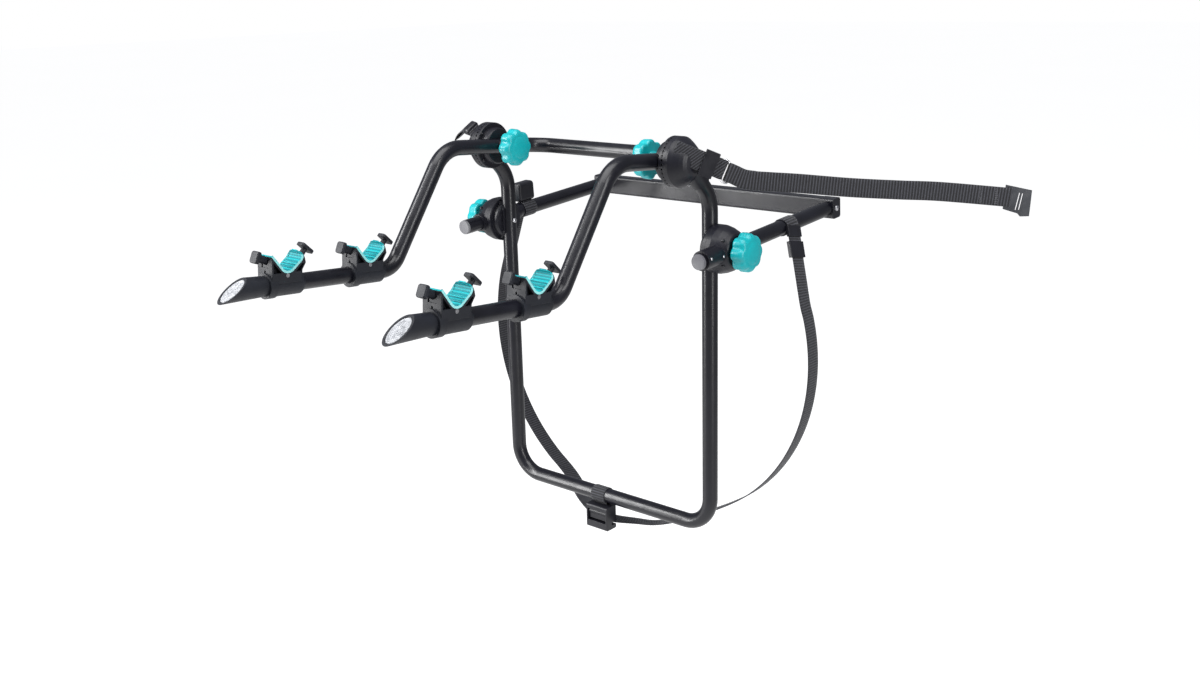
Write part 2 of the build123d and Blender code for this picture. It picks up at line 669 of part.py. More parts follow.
def belt_point(turn):
    """The belt's centre line where it lies on the tread."""
    side = BELT_SIDE_Y if turn > 0 else BELT_LEFT_Y
    y = BELT_LOW_Y + (side - BELT_LOW_Y) * smooth_step(abs(turn) / 34.0)
    x = BELT_LOW_X * (1 - smooth_step(abs(turn) / 30.0))
    r = TREAD_R - (TREAD_R + BELT_LOW_Z) * (1 - smooth_step(y / SHOULDER_W))
    return belt_out(turn) * r + Vector(x, y, 0)


def leave_turn(centre):
    """The turn at which a taut belt leaves the tread for a loop round a side tube."""
    far = (centre.X ** 2 + centre.Z ** 2) ** 0.5
    lift = TUBE_R + LOOP_GAP + WEB_T / 2
    return degrees(atan2(abs(centre.X), -centre.Z)) - degrees(acos((TREAD_R - lift) / far))


def loop_centre(side, y):
    """Centre of the webbing loop on a side tube."""
    return slide_point(side * SIDE_X, (y - FRAME_Y) / cos(SLIDE))


def tyre_belt():
    """The webbing round the lower half of the tyre and straight up to both side tubes."""
    right = leave_turn(loop_centre(1, LOOP_Y))
    left = leave_turn(loop_centre(-1, LEFT_LOOP_Y))
    stations = []
    for i in range(BELT_STEPS + 1):
        turn = -left + (left + right) * i / BELT_STEPS
        along = (belt_point(turn + 0.5) - belt_point(turn - 0.5)).normalized()
        stations.append((belt_point(turn), along.cross(belt_out(turn))))
    runs = ((1, right, LOOP_Y, BELT_RUN_RIGHT), (-1, left, LEFT_LOOP_Y, BELT_RUN_LEFT))
    for side, turn, y, share in runs:
        start = belt_point(side * turn)
        top = run_point(side, y, 0.0)
        end = start + (top - start) * share
        across = (top - start).normalized().cross(belt_out(side * turn)) * side
        if side > 0:
            stations.append((end, across))
        else:
            stations.insert(0, (end, across))
    return strap(stations)


def run_point(side, y, down):
    """A point on a belt's straight run, a distance down from the side tube's outer side."""
    centre = loop_centre(side, y)
    turn = leave_turn(centre)
    out = belt_out(side * turn)
    top = centre + out * (TUBE_R + LOOP_GAP + WEB_T / 2)
    side_y = BELT_SIDE_Y if side > 0 else BELT_LEFT_Y
    foot = out * TREAD_R + Vector(0, side_y, 0)
    return top + (foot - top).normalized() * down


def run_block(side, y, down0, down1, width, low, high):
    """A rounded block on a belt's straight run, between two distances down and two heights."""
    a = run_point(side, y, down0)
    b = run_point(side, y, down1)
    out = belt_out(side * leave_turn(loop_centre(side, y)))
    way = (b - a).normalized()
    plane = Plane(origin=a, x_dir=way.cross(out), z_dir=way)
    face = plane * Pos(0, side * (low + high) / 2) * RectangleRounded(width, high - low, 1.2)
    return extrude(face, down1 - down0)


def flat_block(side, y, down0, down1, width, thickness):
    """Plain webbing on a belt's straight run."""
    a = run_point(side, y, down0)
    b = run_point(side, y, down1)
    out = belt_out(side * leave_turn(loop_centre(side, y)))
    plane = Plane(origin=a, x_dir=(b - a).cross(out), z_dir=b - a)
    return extrude(plane * Rectangle(width, thickness), down1 - down0)


def web_loop(side, y):
    """A webbing loop round a side tube."""
    centre = loop_centre(side, y)
    reach = SLIDE_DIR * (WEB_W / 2)
    ring = rod(centre - reach, centre + reach, TUBE_R + LOOP_GAP + WEB_T)
    return ring - tube_room(side, y)


def tube_room(side, y):
    """The side tube with the clearance that the webbing keeps from it."""
    centre = loop_centre(side, y)
    reach = SLIDE_DIR * WEB_W
    return rod(centre - reach, centre + reach, TUBE_R + LOOP_GAP)


def side_loop():
    """The right webbing loop with its doubled tail down to the buckle."""
    tail = flat_block(1, LOOP_Y, 0.0, LOCK_DOWN[0] + 4.0, WEB_W, WEB_T * 1.6)
    return web_loop(1, LOOP_Y) + (tail - tube_room(1, LOOP_Y))


def belt_keeper():
    """The smooth sleeve just below the right side tube."""
    body = run_block(1, LOOP_Y, KEEPER_DOWN[0], KEEPER_DOWN[1], WEB_W + 5, -3.0, 3.0)
    return body - side_loop() - tube_room(1, LOOP_Y)


def belt_buckle():
    """The ladder buckle that joins the right loop to the tyre belt."""
    body = run_block(1, LOOP_Y, LOCK_DOWN[0], LOCK_DOWN[1], WEB_W + 8, -2.6, 4.4)
    window = run_block(1, LOOP_Y, LOCK_DOWN[0] + 9, LOCK_DOWN[0] + 14, WEB_W + 1, 1.4, 6.0)
    return body - window - side_loop() - tyre_belt()


def left_loop():
    """The left webbing loop with its tail down to the belt."""
    return web_loop(-1, LEFT_LOOP_Y)


def left_buckle():
    """The rounded buckle block on top of the left side tube."""
    half = LEFT_BLOCK[1] / 2
    width, _, height = LEFT_BLOCK
    lift = TUBE_R + LOOP_GAP + WEB_T + height / 2
    centre = slide_point(-SIDE_X - 4, (LEFT_LOOP_Y - FRAME_Y) / cos(SLIDE), lift)
    plane = Plane(origin=centre - SLIDE_DIR * half, x_dir=(1, 0, 0), z_dir=SLIDE_DIR)
    block = extrude(plane * RectangleRounded(width, height, 6.0), 2 * half)
    ends = block.edges().group_by(Axis(centre, SLIDE_DIR))
    return fillet(list(ends[0]) + list(ends[-1]), 4.0)


# Top strap with its hook plate

def strap_plane():
    """Upright sketch plane of the top strap: X along the strap, Y up, Z to the front."""
    along = Vector(cos(radians(STRAP_TURN)), sin(radians(STRAP_TURN)), 0)
    return Plane(origin=STRAP_ROOT, x_dir=along, z_dir=along.cross(Vector(0, 0, 1)))


def strap_piece(points, width=WEB_W, thickness=WEB_T, at=0.0):
    """Flat webbing that stands on edge along (distance, height) points."""
    upper, lower = [], []
    last = len(points) - 1
    for i, (a, b) in enumerate(points):
        before = points[max(i - 1, 0)]
        after = points[min(i + 1, last)]
        along = Vector(after[0] - before[0], after[1] - before[1], 0).normalized()
        upper.append((a - along.Y * width / 2, b + along.X * width / 2))
        lower.insert(0, (a + along.Y * width / 2, b - along.X * width / 2))
    face = strap_plane() * Pos(0, 0, at) * make_face(Polyline(*(upper + lower), close=True))
    return extrude(face, thickness / 2, both=True)


def tab_height(distance):
    """Height of the double webbing's centre line at a distance along it."""
    share = (distance - TAB_START[0]) / (TAB_END[0] - TAB_START[0])
    return TAB_START[1] + (TAB_END[1] - TAB_START[1]) * share


def strap_tab():
    """The double webbing from the right hub to its keeper."""
    return strap_piece([TAB_START, TAB_END], thickness=2 * WEB_T)


def strap_keeper():
    """The smooth sleeve on the double webbing."""
    ends = [(a, tab_height(a)) for a in KEEPER]
    return strap_piece(ends, width=WEB_W + 9, thickness=KEEPER_T) - strap_tab()


def strap_ring():
    """The wire ring that joins the tab and the long strap."""
    a, b = TAB_END
    half = WEB_W / 2 + 3.0
    plane = strap_plane()
    corners = [(a - 6, b - half + 2), (a + 4, b - half - 2), (a + 7, b + half - 6), (a - 1, b + half)]
    path = FilletPolyline(*corners, radius=2.6, close=True)
    moved = plane * Pos(0, 0, 0) * path
    section = Plane(origin=moved @ 0, z_dir=moved % 0) * Circle(1.5)
    return sweep(section, path=moved) - strap_tab()


def long_strap():
    """The strap that reaches sideways to the hook plate."""
    return strap_piece(STRAP_ROUTE, width=WEB_W - 1.5, at=2.6) - strap_ring()


def hook_plate():
    """The coated plate that hooks over a body edge beside the wheel."""
    plane = strap_plane()
    outline = Polyline(*HOOK_OUTLINE, close=True)
    plate = extrude(plane * Pos(0, 0, -0.2) * make_face(outline), 1.0, both=True)
    for slot in HOOK_SLOTS:
        (a0, b0), (a1, b1) = slot
        mid = ((a0 + a1) / 2, (b0 + b1) / 2)
        length = ((a1 - a0) ** 2 + (b1 - b0) ** 2) ** 0.5
        turn = degrees(atan2(b1 - b0, a1 - a0))
        cut = plane * Pos(mid[0], mid[1], 0) * Rot(0, 0, turn) * Box(length, 2.0, 8.0)
        plate = plate - cut
    return plate - long_strap()


def left_tab():
    """The short webbing that stands out from the left hub, with its keeper."""
    stations = [(Vector(*point), LEFT_TAB_ACROSS) for point in LEFT_TAB]
    web = strap(stations, WEB_W - 6, 2 * WEB_T)
    a, b = Vector(*LEFT_TAB[1]), Vector(*LEFT_TAB[2])
    plane = Plane(origin=a, x_dir=LEFT_TAB_ACROSS, z_dir=b - a)
    return web + extrude(plane * RectangleRounded(WEB_W - 2, LEFT_KEEPER_T, 5.0), (b - a).length)


# Foot buckle

def foot_loop():
    """The webbing loop round the frame's lower bar."""
    x = FOOT_X - 4.0
    ring = x_rod(x - WEB_W / 2, x + WEB_W / 2, FRAME_Y, FRAME_FOOT_Z, TUBE_R + WEB_T)
    ring = ring - x_rod(x - WEB_W, x + WEB_W, FRAME_Y, FRAME_FOOT_Z, TUBE_R)
    strip = Pos(x, FRAME_Y - 4, FRAME_FOOT_Z - TUBE_R - 7) * Box(WEB_W, WEB_T, 14.0)
    return ring + (strip - x_rod(x - 40, x + 40, FRAME_Y, FRAME_FOOT_Z, TUBE_R + 0.4))


def foot_buckle():
    """The frame of the cam buckle below the lower bar: two cheeks, a back and a foot bar."""
    x0, x1 = FOOT_X - FOOT_W / 2, FOOT_X + FOOT_W / 2
    z1 = FRAME_FOOT_Z - TUBE_R - 3.0
    z0 = z1 - FOOT_H
    y0, y1 = FOOT_Y
    block = Pos(FOOT_X, (y0 + y1) / 2, (z0 + z1) / 2) * Box(FOOT_W, y1 - y0, z1 - z0)
    block = fillet(block.edges().filter_by(Axis.X), 3.0)
    room = Pos(FOOT_X, (y0 + y1) / 2 - 3, z1 - 19.0) * Box(FOOT_W - 5, y1 - y0, 22.0)
    block = block - room
    passage = Pos(FOOT_X, 30.5, BELT_LOW_Z) * Box(FOOT_W + 4, 100, 2 * WEB_T + 2.4)
    block = block - passage - foot_loop()
    lever_pin = x_rod(x0, x1, LEVER_AXIS[0], LEVER_AXIS[1], 2.2 + SHAFT_FIT)
    return block - lever_pin


def foot_lever():
    """The cam lever of the foot buckle with its pin."""
    y, z = LEVER_AXIS
    w = FOOT_W - 5.8
    body = x_rod(FOOT_X - w / 2, FOOT_X + w / 2, y, z, 4.6)
    plate = Pos(FOOT_X, y - 1.4, z - 7.0) * Box(w, 3.2, 12.0)
    pin = x_rod(FOOT_X - FOOT_W / 2 + 0.2, FOOT_X + FOOT_W / 2 - 0.2, y, z, 2.2)
    return body + plate + pin


def pieces():
    """Every piece of the carrier by node name."""
    out = {"main_frame_tube": main_frame_tube(), "arm_tube": arm_tube()}
    out["hub_shell_right"] = hub_shell(strap_tab())
    out["hub_shell_left"] = mirrored(hub_shell(mirrored(left_tab())))
    pair = {"arm_saddle": arm_saddle(), "upper_knob": upper_knob(), "slide_knob": slide_knob(),
            "slide_knob_stud": slide_knob_stud(), "clamp_saddle": clamp_saddle(), "side_tube": side_tube()}
    for name, shape in pair.items():
        out[name + "_right"] = shape
        out[name + "_left"] = mirrored(shape)
    out["slide_housing_right"] = slide_housing(SLEEVE_FRONT_RIGHT)
    for screw in sleeve_screws():
        out["slide_housing_right"] = out["slide_housing_right"] - screw
    out["slide_housing_left"] = mirrored(slide_housing(SLEEVE_FRONT_LEFT))
    out["sleeve_screws"] = Compound(children=sleeve_screws())
    groups = {"hub_discs": [hub_disc()], "pivot_bolts": [pivot_bolt()], "clamp_screws": [clamp_screw()],
              "saddle_screws": saddle_screws(), "arm_spacers": [arm_spacer()],
              "clamp_rivets": clamp_rivets(), "housing_inserts": [housing_insert()],
              "rear_brackets": [rear_bracket()], "bracket_bolts": [bracket_bolt()],
              "side_caps": [side_cap()]}
    for name, shapes in groups.items():
        out[name] = Compound(children=shapes + [mirrored(s) for s in shapes])
    out["rear_bar"] = rear_bar()
    screws = []
    for side, x in (("right", ARM_X), ("left", -ARM_X)):
        for place, f in zip(("front", "rear"), CRADLE_F):
            out[f"cradle_{place}_{side}"] = cradle_body(x, f)
            out[f"cradle_liner_{place}_{side}"] = cradle_liner(x, f)
            screws.append(cradle_screw(x, f))
        out[f"end_cap_{side}"] = end_cap(x)
    out["reflectors"] = Compound(children=[reflector(ARM_X), reflector(-ARM_X)])
    out["cradle_screws"] = Compound(children=screws)
    out["tyre_belt"] = tyre_belt()
    out["side_loop_right"] = side_loop()
    out["belt_keeper"] = belt_keeper()
    out["belt_buckle"] = belt_buckle()
    out["side_loop_left"] = left_loop()
    out["belt_anchor_left"] = left_buckle()
    out["strap_tab_right"] = strap_tab()
    out["strap_keeper"] = strap_keeper()
    out["strap_ring"] = strap_ring()
    out["top_strap"] = long_strap()
    out["hook_plate"] = hook_plate()
    out["strap_tab_left"] = left_tab()
    out["foot_loop"] = foot_loop()
    out["foot_buckle"] = foot_buckle()
    out["foot_lever"] = foot_lever()
    return out


def main():
    """Write every piece to the parts folder."""
    os.makedirs("parts", exist_ok=True)
    for name, shape in pieces().items():
        export_step(shape, f"parts/{name}.step")


if __name__ == "__main__":
    main()
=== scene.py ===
"""Looks of a folding bicycle carrier that straps over a spare wheel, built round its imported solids."""
import json
import logging
import math
from dataclasses import dataclass, field
from enum import Enum
from functools import cache
from typing import Iterable, Sequence

import bmesh
import bpy
from mathutils import Matrix, Vector


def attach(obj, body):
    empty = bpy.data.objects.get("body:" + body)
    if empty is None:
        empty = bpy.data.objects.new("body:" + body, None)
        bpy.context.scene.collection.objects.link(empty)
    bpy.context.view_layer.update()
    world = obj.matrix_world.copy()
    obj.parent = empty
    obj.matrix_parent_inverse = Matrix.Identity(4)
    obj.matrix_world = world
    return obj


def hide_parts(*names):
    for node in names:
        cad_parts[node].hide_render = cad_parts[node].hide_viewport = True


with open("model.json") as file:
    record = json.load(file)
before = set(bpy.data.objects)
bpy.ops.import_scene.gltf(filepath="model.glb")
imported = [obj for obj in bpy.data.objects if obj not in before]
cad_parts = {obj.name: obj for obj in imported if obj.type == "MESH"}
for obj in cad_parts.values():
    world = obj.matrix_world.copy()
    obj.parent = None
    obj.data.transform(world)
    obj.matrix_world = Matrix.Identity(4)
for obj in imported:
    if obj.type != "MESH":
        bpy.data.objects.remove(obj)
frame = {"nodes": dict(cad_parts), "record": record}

LOG = logging.getLogger("carrier")

Colour = tuple[float, float, float]
Span = tuple[float, float]
Row = list[Vector]
Piece = bpy.types.Object
Socket = bpy.types.NodeSocket

# Sizes are in millimetres, and MM turns them into metres where a mesh is made
MM = 0.001
TUBE_R = 12.5
FRAME_Y = -12.5
SLIDE_Z = 210.0
FOLD = Vector((0.0, -68.5, 348.0))
ARM_TILT = math.radians(4.6)
WEB_W = 30.0
WEB_T = 1.6
RIB_PITCH = 4.4 * MM
RIB_HEIGHT = 0.2 * MM
UP = Vector((0.0, 0.0, 1.0))
ALONG_X = Vector((1.0, 0.0, 0.0))


class Body(Enum):
    """The bodies of the carrier that pieces of this script ride on."""

    FRAME = "frame"
    ARMS = "arms"
    FOLD_RIGHT = "fold_knob_right"
    FOLD_LEFT = "fold_knob_left"
    LOCK_RIGHT = "slide_lock_right"
    LOCK_LEFT = "slide_lock_left"


class Side(Enum):
    """The two sides of the carrier, as the sign of X."""

    RIGHT = 1
    LEFT = -1

    @property
    def word(self) -> str:
        """The side's word in node names."""
        return self.name.lower()


# Node trees

class Nodes:
    """Short ways to add nodes to a tree."""

    def __init__(self, tree: bpy.types.NodeTree) -> None:
        """Work on a tree.

        Args:
            tree: The tree that gets the nodes.
        """
        self.tree = tree

    def add(self, kind: str, links: dict | None = None, **values: object) -> bpy.types.Node:
        """Add a node with its properties and inputs.

        Args:
            kind: The node's type.
            links: Input name or index to an output socket or a value.
            values: Node properties.

        Returns:
            The new node.
        """
        node = self.tree.nodes.new(kind)
        for key, value in values.items():
            setattr(node, key, value)
        for key, source in (links or {}).items():
            if isinstance(source, Socket):
                self.tree.links.new(source, node.inputs[key])
            else:
                node.inputs[key].default_value = source
        return node

    def math(self, operation: str, a: Socket | float, b: Socket | float = 0.0) -> Socket:
        """One arithmetic step on sockets or numbers."""
        return self.add("ShaderNodeMath", {0: a, 1: b}, operation=operation).outputs[0]

    def times(self, a: Socket | float, b: Socket | float) -> Socket:
        """The product of two values."""
        return self.math("MULTIPLY", a, b)


class Shader(Nodes):
    """A Principled material under construction."""

    def __init__(self, name: str) -> None:
        """Start an empty material.

        Args:
            name: The material's name.
        """
        self.material = bpy.data.materials.new(name)
        self.material.use_nodes = True
        super().__init__(self.material.node_tree)
        self.tree.nodes.clear()
        self.surface = self.add("ShaderNodeBsdfPrincipled")
        self.add("ShaderNodeOutputMaterial", {"Surface": self.surface.outputs["BSDF"]})
        self.coords = self.add("ShaderNodeTexCoord").outputs["Object"]

    def set(self, specular: float = 0.5, **values: object) -> "Shader":
        """Set constants on the surface's own sockets.

        Args:
            specular: The specular level.
            values: Input values by name with _ for a space.

        Returns:
            This shader.
        """
        self.surface.inputs["Specular IOR Level"].default_value = specular
        for key, value in values.items():
            self.surface.inputs[key.replace("_", " ").title()].default_value = value
        return self

    def feed(self, name: str, socket: Socket) -> None:
        """Feed one of the surface's inputs from a node."""
        self.tree.links.new(socket, self.surface.inputs[name])

    def noise(self, scale: float, detail: float = 3.0, roughness: float = 0.5) -> Socket:
        """A noise pattern on the piece.

        Args:
            scale: Cells per metre.
            detail: Octaves.
            roughness: Share of each finer octave.

        Returns:
            The factor output.
        """
        return self.add("ShaderNodeTexNoise", {"Vector": self.coords, "Scale": scale, "Detail": detail,
                                               "Roughness": roughness}).outputs["Fac"]

    def wave(self, length: Socket, pitch: float) -> Socket:
        """A sine wave along a length in metres."""
        return self.math("SINE", self.times(length, 2 * math.pi / pitch))

    def ramp(self, source: Socket, *stops: tuple[float, Colour]) -> Socket:
        """A ramp between two colours.

        Args:
            source: The factor.
            stops: Place and colour of each of the two stops.

        Returns:
            The colour output.
        """
        node = self.add("ShaderNodeValToRGB", {"Fac": source})
        for element, (place, colour) in zip(node.color_ramp.elements, stops):
            element.position = place
            element.color = (*colour, 1.0)
        return node.outputs["Color"]

    def spread(self, source: Socket, low: float, high: float, start: float = 0.3, end: float = 0.7) -> Socket:
        """A factor spread over a range of values.

        Args:
            source: The factor.
            low: Result at start.
            high: Result at end.
            start: Factor for low.
            end: Factor for high.

        Returns:
            The result.
        """
        return self.add("ShaderNodeMapRange", {"Value": source, "From Min": start, "From Max": end,
                                               "To Min": low, "To Max": high}).outputs["Result"]

    def sided(self, base: Socket, colour: Colour) -> Socket:
        """The base colour, with another painted on the faces that look along X as a painted highlight.

        Args:
            base: The base colour.
            colour: The painted highlight colour of those faces.

        Returns:
            The colour output.
        """
        normal = self.add("ShaderNodeTexCoord").outputs["Normal"]
        along = self.math("ABSOLUTE", self.add("ShaderNodeSeparateXYZ", {0: normal}).outputs[0])
        share = self.spread(along, 0.0, 1.0, 0.75, 0.95)
        return self.add("ShaderNodeMix", {0: share, 6: base, 7: (*colour, 1.0)}, data_type="RGBA").outputs[2]

    def edges(self, radius: float) -> Socket:
        """A normal that rounds sharp edges to a radius in metres."""
        return self.add("ShaderNodeBevel", {"Radius": radius}, samples=6).outputs["Normal"]

    def bump(self, height: Socket, distance: float, strength: float, normal: Socket | None = None) -> Socket:
        """A relief on the surface.

        Args:
            height: Height factor.
            distance: Full height in metres.
            strength: Share of it that shows.
            normal: Normal to build on.

        Returns:
            The normal output.
        """
        links = {"Height": height, "Distance": distance, "Strength": strength}
        if normal is not None:
            links["Normal"] = normal
        return self.add("ShaderNodeBump", links).outputs["Normal"]


# Finishes

@dataclass(frozen=True)
class Coating:
    """A hard finish: paint, moulded plastic or plated metal. Lengths are in metres."""

    name: str
    dark: Colour
    light: Colour
    rough: Span
    metallic: float = 0.0
    coat: float = 0.0
    coat_roughness: float = 0.12
    specular: float = 0.5
    mottle: float = 22.0
    smudge: float = 3.1
    grain: float = 900.0
    grain_depth: float = 0.00004
    edge: float = 0.0006
    # side: a colour painted on the faces that look along X, a painted highlight
    side: Colour | None = None
    # The ribs also get a colour wave that paints their crests lighter as a painted highlight and their
    # grooves darker as painted shade; the third of these fields weighs the noise tone against that painted
    # light and shade
    ribs: float = 0.0
    rib_depth: float = 0.0004
    rib_mix: Span = (0.3, 0.62)
    tones: Span = (0.35, 0.7)
    grain_strength: float = 0.6

    def build(self) -> bpy.types.Material:
        """Make the material.

        Returns:
            The finished material.
        """
        sh = Shader(self.name)
        sh.set(self.specular, metallic=self.metallic, coat_weight=self.coat,
               coat_roughness=self.coat_roughness)
        tone = sh.noise(self.mottle, 5.0)
        grain = sh.noise(self.grain, 2.0)
        relief = sh.bump(grain, self.grain_depth, self.grain_strength, sh.edges(self.edge))
        # Ribs along the height: a bump, plus crests painted lighter and grooves painted darker, painted light
        # and shade
        if self.ribs:
            height = sh.add("ShaderNodeSeparateXYZ", {0: sh.coords}).outputs[2]
            cross = sh.spread(sh.wave(height, self.ribs), 0.0, 1.0, -0.9, 0.9)
            tone = sh.math("ADD", sh.times(tone, self.rib_mix[0]), sh.times(cross, self.rib_mix[1]))
            relief = sh.bump(cross, self.rib_depth, 0.8, relief)
        base = sh.ramp(tone, (self.tones[0], self.dark), (self.tones[1], self.light))
        # Faces that look along X get the side colour, a painted highlight
        sh.feed("Base Color", sh.sided(base, self.side) if self.side else base)
        sh.feed("Roughness", sh.spread(sh.noise(self.mottle * self.smudge, 6.0, 0.62), *self.rough))
        sh.feed("Normal", relief)
        return sh.material


@dataclass(frozen=True)
class Weave:
    """Ribbed webbing, patterned along the piece's own UV map in metres, its ribs painted lighter on the
    crests as a painted highlight and darker in the grooves as painted shade.
    """

    name: str
    # The webbing's black, painted darker in the grooves as painted shade and lighter on the crests as a
    # painted highlight
    groove: Colour = (0.004, 0.004, 0.006)
    crest: Colour = (0.058, 0.059, 0.072)
    thread: float = 0.00075
    fuzz: float = 2400.0
    relief: float = 0.00012

    def build(self) -> bpy.types.Material:
        """Make the material.

        Returns:
            The finished material.
        """
        sh = Shader(self.name).set(sheen_weight=0.25, sheen_roughness=0.4, roughness=0.72)
        uv = sh.add("ShaderNodeUVMap", uv_map="UVMap").outputs["UV"]
        along, across, _ = sh.add("ShaderNodeSeparateXYZ", {0: uv}).outputs
        # A wave along the strap that paints the rib crests lighter and the grooves darker, painted light and
        # shade
        rib_shading = sh.spread(sh.wave(along, RIB_PITCH), 0.0, 1.0, -0.8, 0.9)
        fuzz = sh.noise(self.fuzz)
        tone = sh.times(rib_shading, sh.spread(fuzz, 0.55, 1.0))
        sh.feed("Base Color", sh.ramp(tone, (0.22, self.groove), (0.92, self.crest)))
        threads = sh.math("ADD", sh.times(sh.wave(across, self.thread), 0.4), sh.times(fuzz, 1.2))
        sh.feed("Normal", sh.bump(threads, self.relief, 0.7))
        return sh.material


@dataclass(frozen=True)
class Lens:
    """The pale prismatic face of a reflector."""

    name: str
    dark: Colour = (0.30, 0.31, 0.33)
    light: Colour = (0.62, 0.63, 0.65)
    rough: Span = (0.4, 0.6)
    relief: float = 0.00001

    def build(self) -> bpy.types.Material:
        """Make the material.

        Returns:
            The finished material.
        """
        sh = Shader(self.name)
        sh.feed("Base Color", sh.ramp(sh.noise(160.0, 4.0), (0.3, self.dark), (0.75, self.light)))
        sh.feed("Roughness", sh.spread(sh.noise(420.0), *self.rough))
        sh.feed("Normal", sh.bump(sh.noise(1400.0), self.relief, 0.4))
        return sh.material


class Finish(Enum):
    """Every finish of the carrier, by the record's slot."""

    frame_paint = Coating(
        "black powder coat", (0.003, 0.003, 0.006), (0.006, 0.006, 0.011), (0.27, 0.38), coat=0.12,
        specular=0.45, grain_depth=0.000006)
    hub_plastic = Coating(
        "black hub nylon", (0.004, 0.004, 0.008), (0.008, 0.008, 0.014), (0.34, 0.48), specular=0.42,
        grain=1500.0, grain_depth=0.000012)
    cradle_plastic = Coating(
        "black polished moulding", (0.005, 0.006, 0.010), (0.009, 0.011, 0.018), (0.46, 0.58), specular=0.42,
        grain=700.0, grain_depth=0.000002, edge=0.0009)
    # The liner's faces that look along X get a paler teal as a painted highlight, and its ribs are painted
    # lighter on the crests and darker in the grooves as painted light and shade
    liner_rubber = Coating(
        "teal liner rubber", (0.0, 0.20, 0.23), (0.006, 0.37, 0.40), (0.45, 0.6), specular=0.25, grain=2100.0,
        grain_depth=0.000008, edge=0.0005, side=(0.30, 0.72, 0.72), ribs=0.0034)
    knob_plastic = Coating(
        "teal knob moulding", (0.0, 0.34, 0.37), (0.006, 0.42, 0.45), (0.3, 0.42), coat=0.1, specular=0.45,
        grain=1700.0, grain_depth=0.000006, edge=0.0008)
    zinc_steel = Coating(
        "zinc plated steel", (0.42, 0.42, 0.44), (0.66, 0.66, 0.68), (0.22, 0.4), metallic=1.0, mottle=60.0,
        grain=3000.0, grain_depth=0.00001, edge=0.0003)
    insert_brass = Coating(
        "bare brass", (0.50, 0.34, 0.12), (0.72, 0.54, 0.25), (0.25, 0.42), metallic=1.0, mottle=60.0,
        grain=3000.0, grain_depth=0.00001, edge=0.0002)
    cap_plastic = Coating(
        "grey plug plastic", (0.10, 0.10, 0.115), (0.19, 0.19, 0.20), (0.38, 0.55), grain=1800.0,
        grain_depth=0.00003)
    buckle_plastic = Coating(
        "black buckle plastic", (0.006, 0.006, 0.009), (0.012, 0.012, 0.017), (0.32, 0.46), specular=0.45,
        grain=1900.0, grain_depth=0.00001, edge=0.0007)
    ring_steel = Coating(
        "bright wire", (0.62, 0.62, 0.64), (0.82, 0.82, 0.83), (0.12, 0.24), metallic=1.0, mottle=60.0,
        grain=3000.0, grain_depth=0.00001, edge=0.0001)
    hook_coating = Coating(
        "dark dipped coating", (0.012, 0.014, 0.020), (0.030, 0.033, 0.042), (0.4, 0.58), specular=0.45,
        grain=1100.0, grain_depth=0.00008, edge=0.0008)
    webbing = Weave("black ribbed webbing")
    reflector_lens = Lens("pale reflector lens")

    @property
    def material(self) -> bpy.types.Material:
        """The finish's material, made the first time it is asked for."""
        return bpy.data.materials.get(self.value.name) or self.value.build()


BLACKENED = Coating("blackened steel", (0.02, 0.02, 0.024), (0.05, 0.05, 0.055), (0.3, 0.45), metallic=0.6,
                    mottle=60.0, grain=3000.0, grain_depth=0.000005, edge=0.0003)


def dress(obj: Piece, finish: Finish) -> None:
    """Give a piece one finish.

    Args:
        obj: The piece.
        finish: Its finish.
    """
    obj.data.materials.clear()
    obj.data.materials.append(finish.material)


def settle(obj: Piece, finish: Finish, body: Body, *nodes: str) -> None:
    """Dress a finished piece, mount it and log it.

    Args:
        obj: The piece.
        finish: Its finish.
        body: The body that it rides on.
        nodes: Solids that it replaces.
    """
    dress(obj, finish)
    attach(obj, body.value)
    if nodes:
        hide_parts(*nodes)
    LOG.info("%s: %d faces", obj.name, len(obj.data.polygons))


# Mesh building

def mesh_object(name: str, points: Iterable[Vector], faces: Iterable[Sequence[int]]) -> Piece:
    """An object with a smooth-shaded mesh.

    Args:
        name: The piece's name.
        points: Its points in millimetres.
        faces: Its faces as indices.

    Returns:
        The new object, at the origin.
    """
    mesh = bpy.data.meshes.new(name)
    mesh.from_pydata([p * MM for p in points], [], [list(f) for f in faces])
    mesh.polygons.foreach_set("use_smooth", [True] * len(mesh.polygons))
    mesh.update()
    return linked(name, mesh)


def linked(name: str, data: bpy.types.ID) -> Piece:
    """A new object in the scene.

    Args:
        name: Its name.
        data: Its mesh, light or camera.

    Returns:
        The new object.
    """
    obj = bpy.data.objects.new(name, data)
    bpy.context.scene.collection.objects.link(obj)
    return obj


def skinned(name: str, rows: list[Row]) -> Piece:
    """A closed piece skinned over closed rows of equal length, its faces outward.

    Args:
        name: The piece's name.
        rows: Its rows of points, of which the first and last get end faces.

    Returns:
        The piece.
    """
    n, count = len(rows[0]), len(rows)
    faces = [[a + j, a + (j + 1) % n, a + n + (j + 1) % n, a + n + j]
             for a in range(0, (count - 1) * n, n) for j in range(n)]
    faces += [list(range(n))[::-1], [(count - 1) * n + j for j in range(n)]]
    obj = mesh_object(name, [p for row in rows for p in row], faces)
    work = bmesh.new()
    work.from_mesh(obj.data)
    bmesh.ops.recalc_face_normals(work, faces=work.faces)
    if work.calc_volume(signed=True) < 0:
        bmesh.ops.reverse_faces(work, faces=work.faces)
    work.to_mesh(obj.data)
    work.free()
    return obj


def joined(name: str, pieces: list[Piece]) -> Piece:
    """One object from several.

    Args:
        name: The new object's name.
        pieces: Objects at the origin, which are used up.

    Returns:
        The joined object.
    """
    work = bmesh.new()
    for obj in pieces:
        work.from_mesh(obj.data)
        bpy.data.objects.remove(obj)
    mesh = bpy.data.meshes.new(name)
    work.to_mesh(mesh)
    work.free()
    return linked(name, mesh)


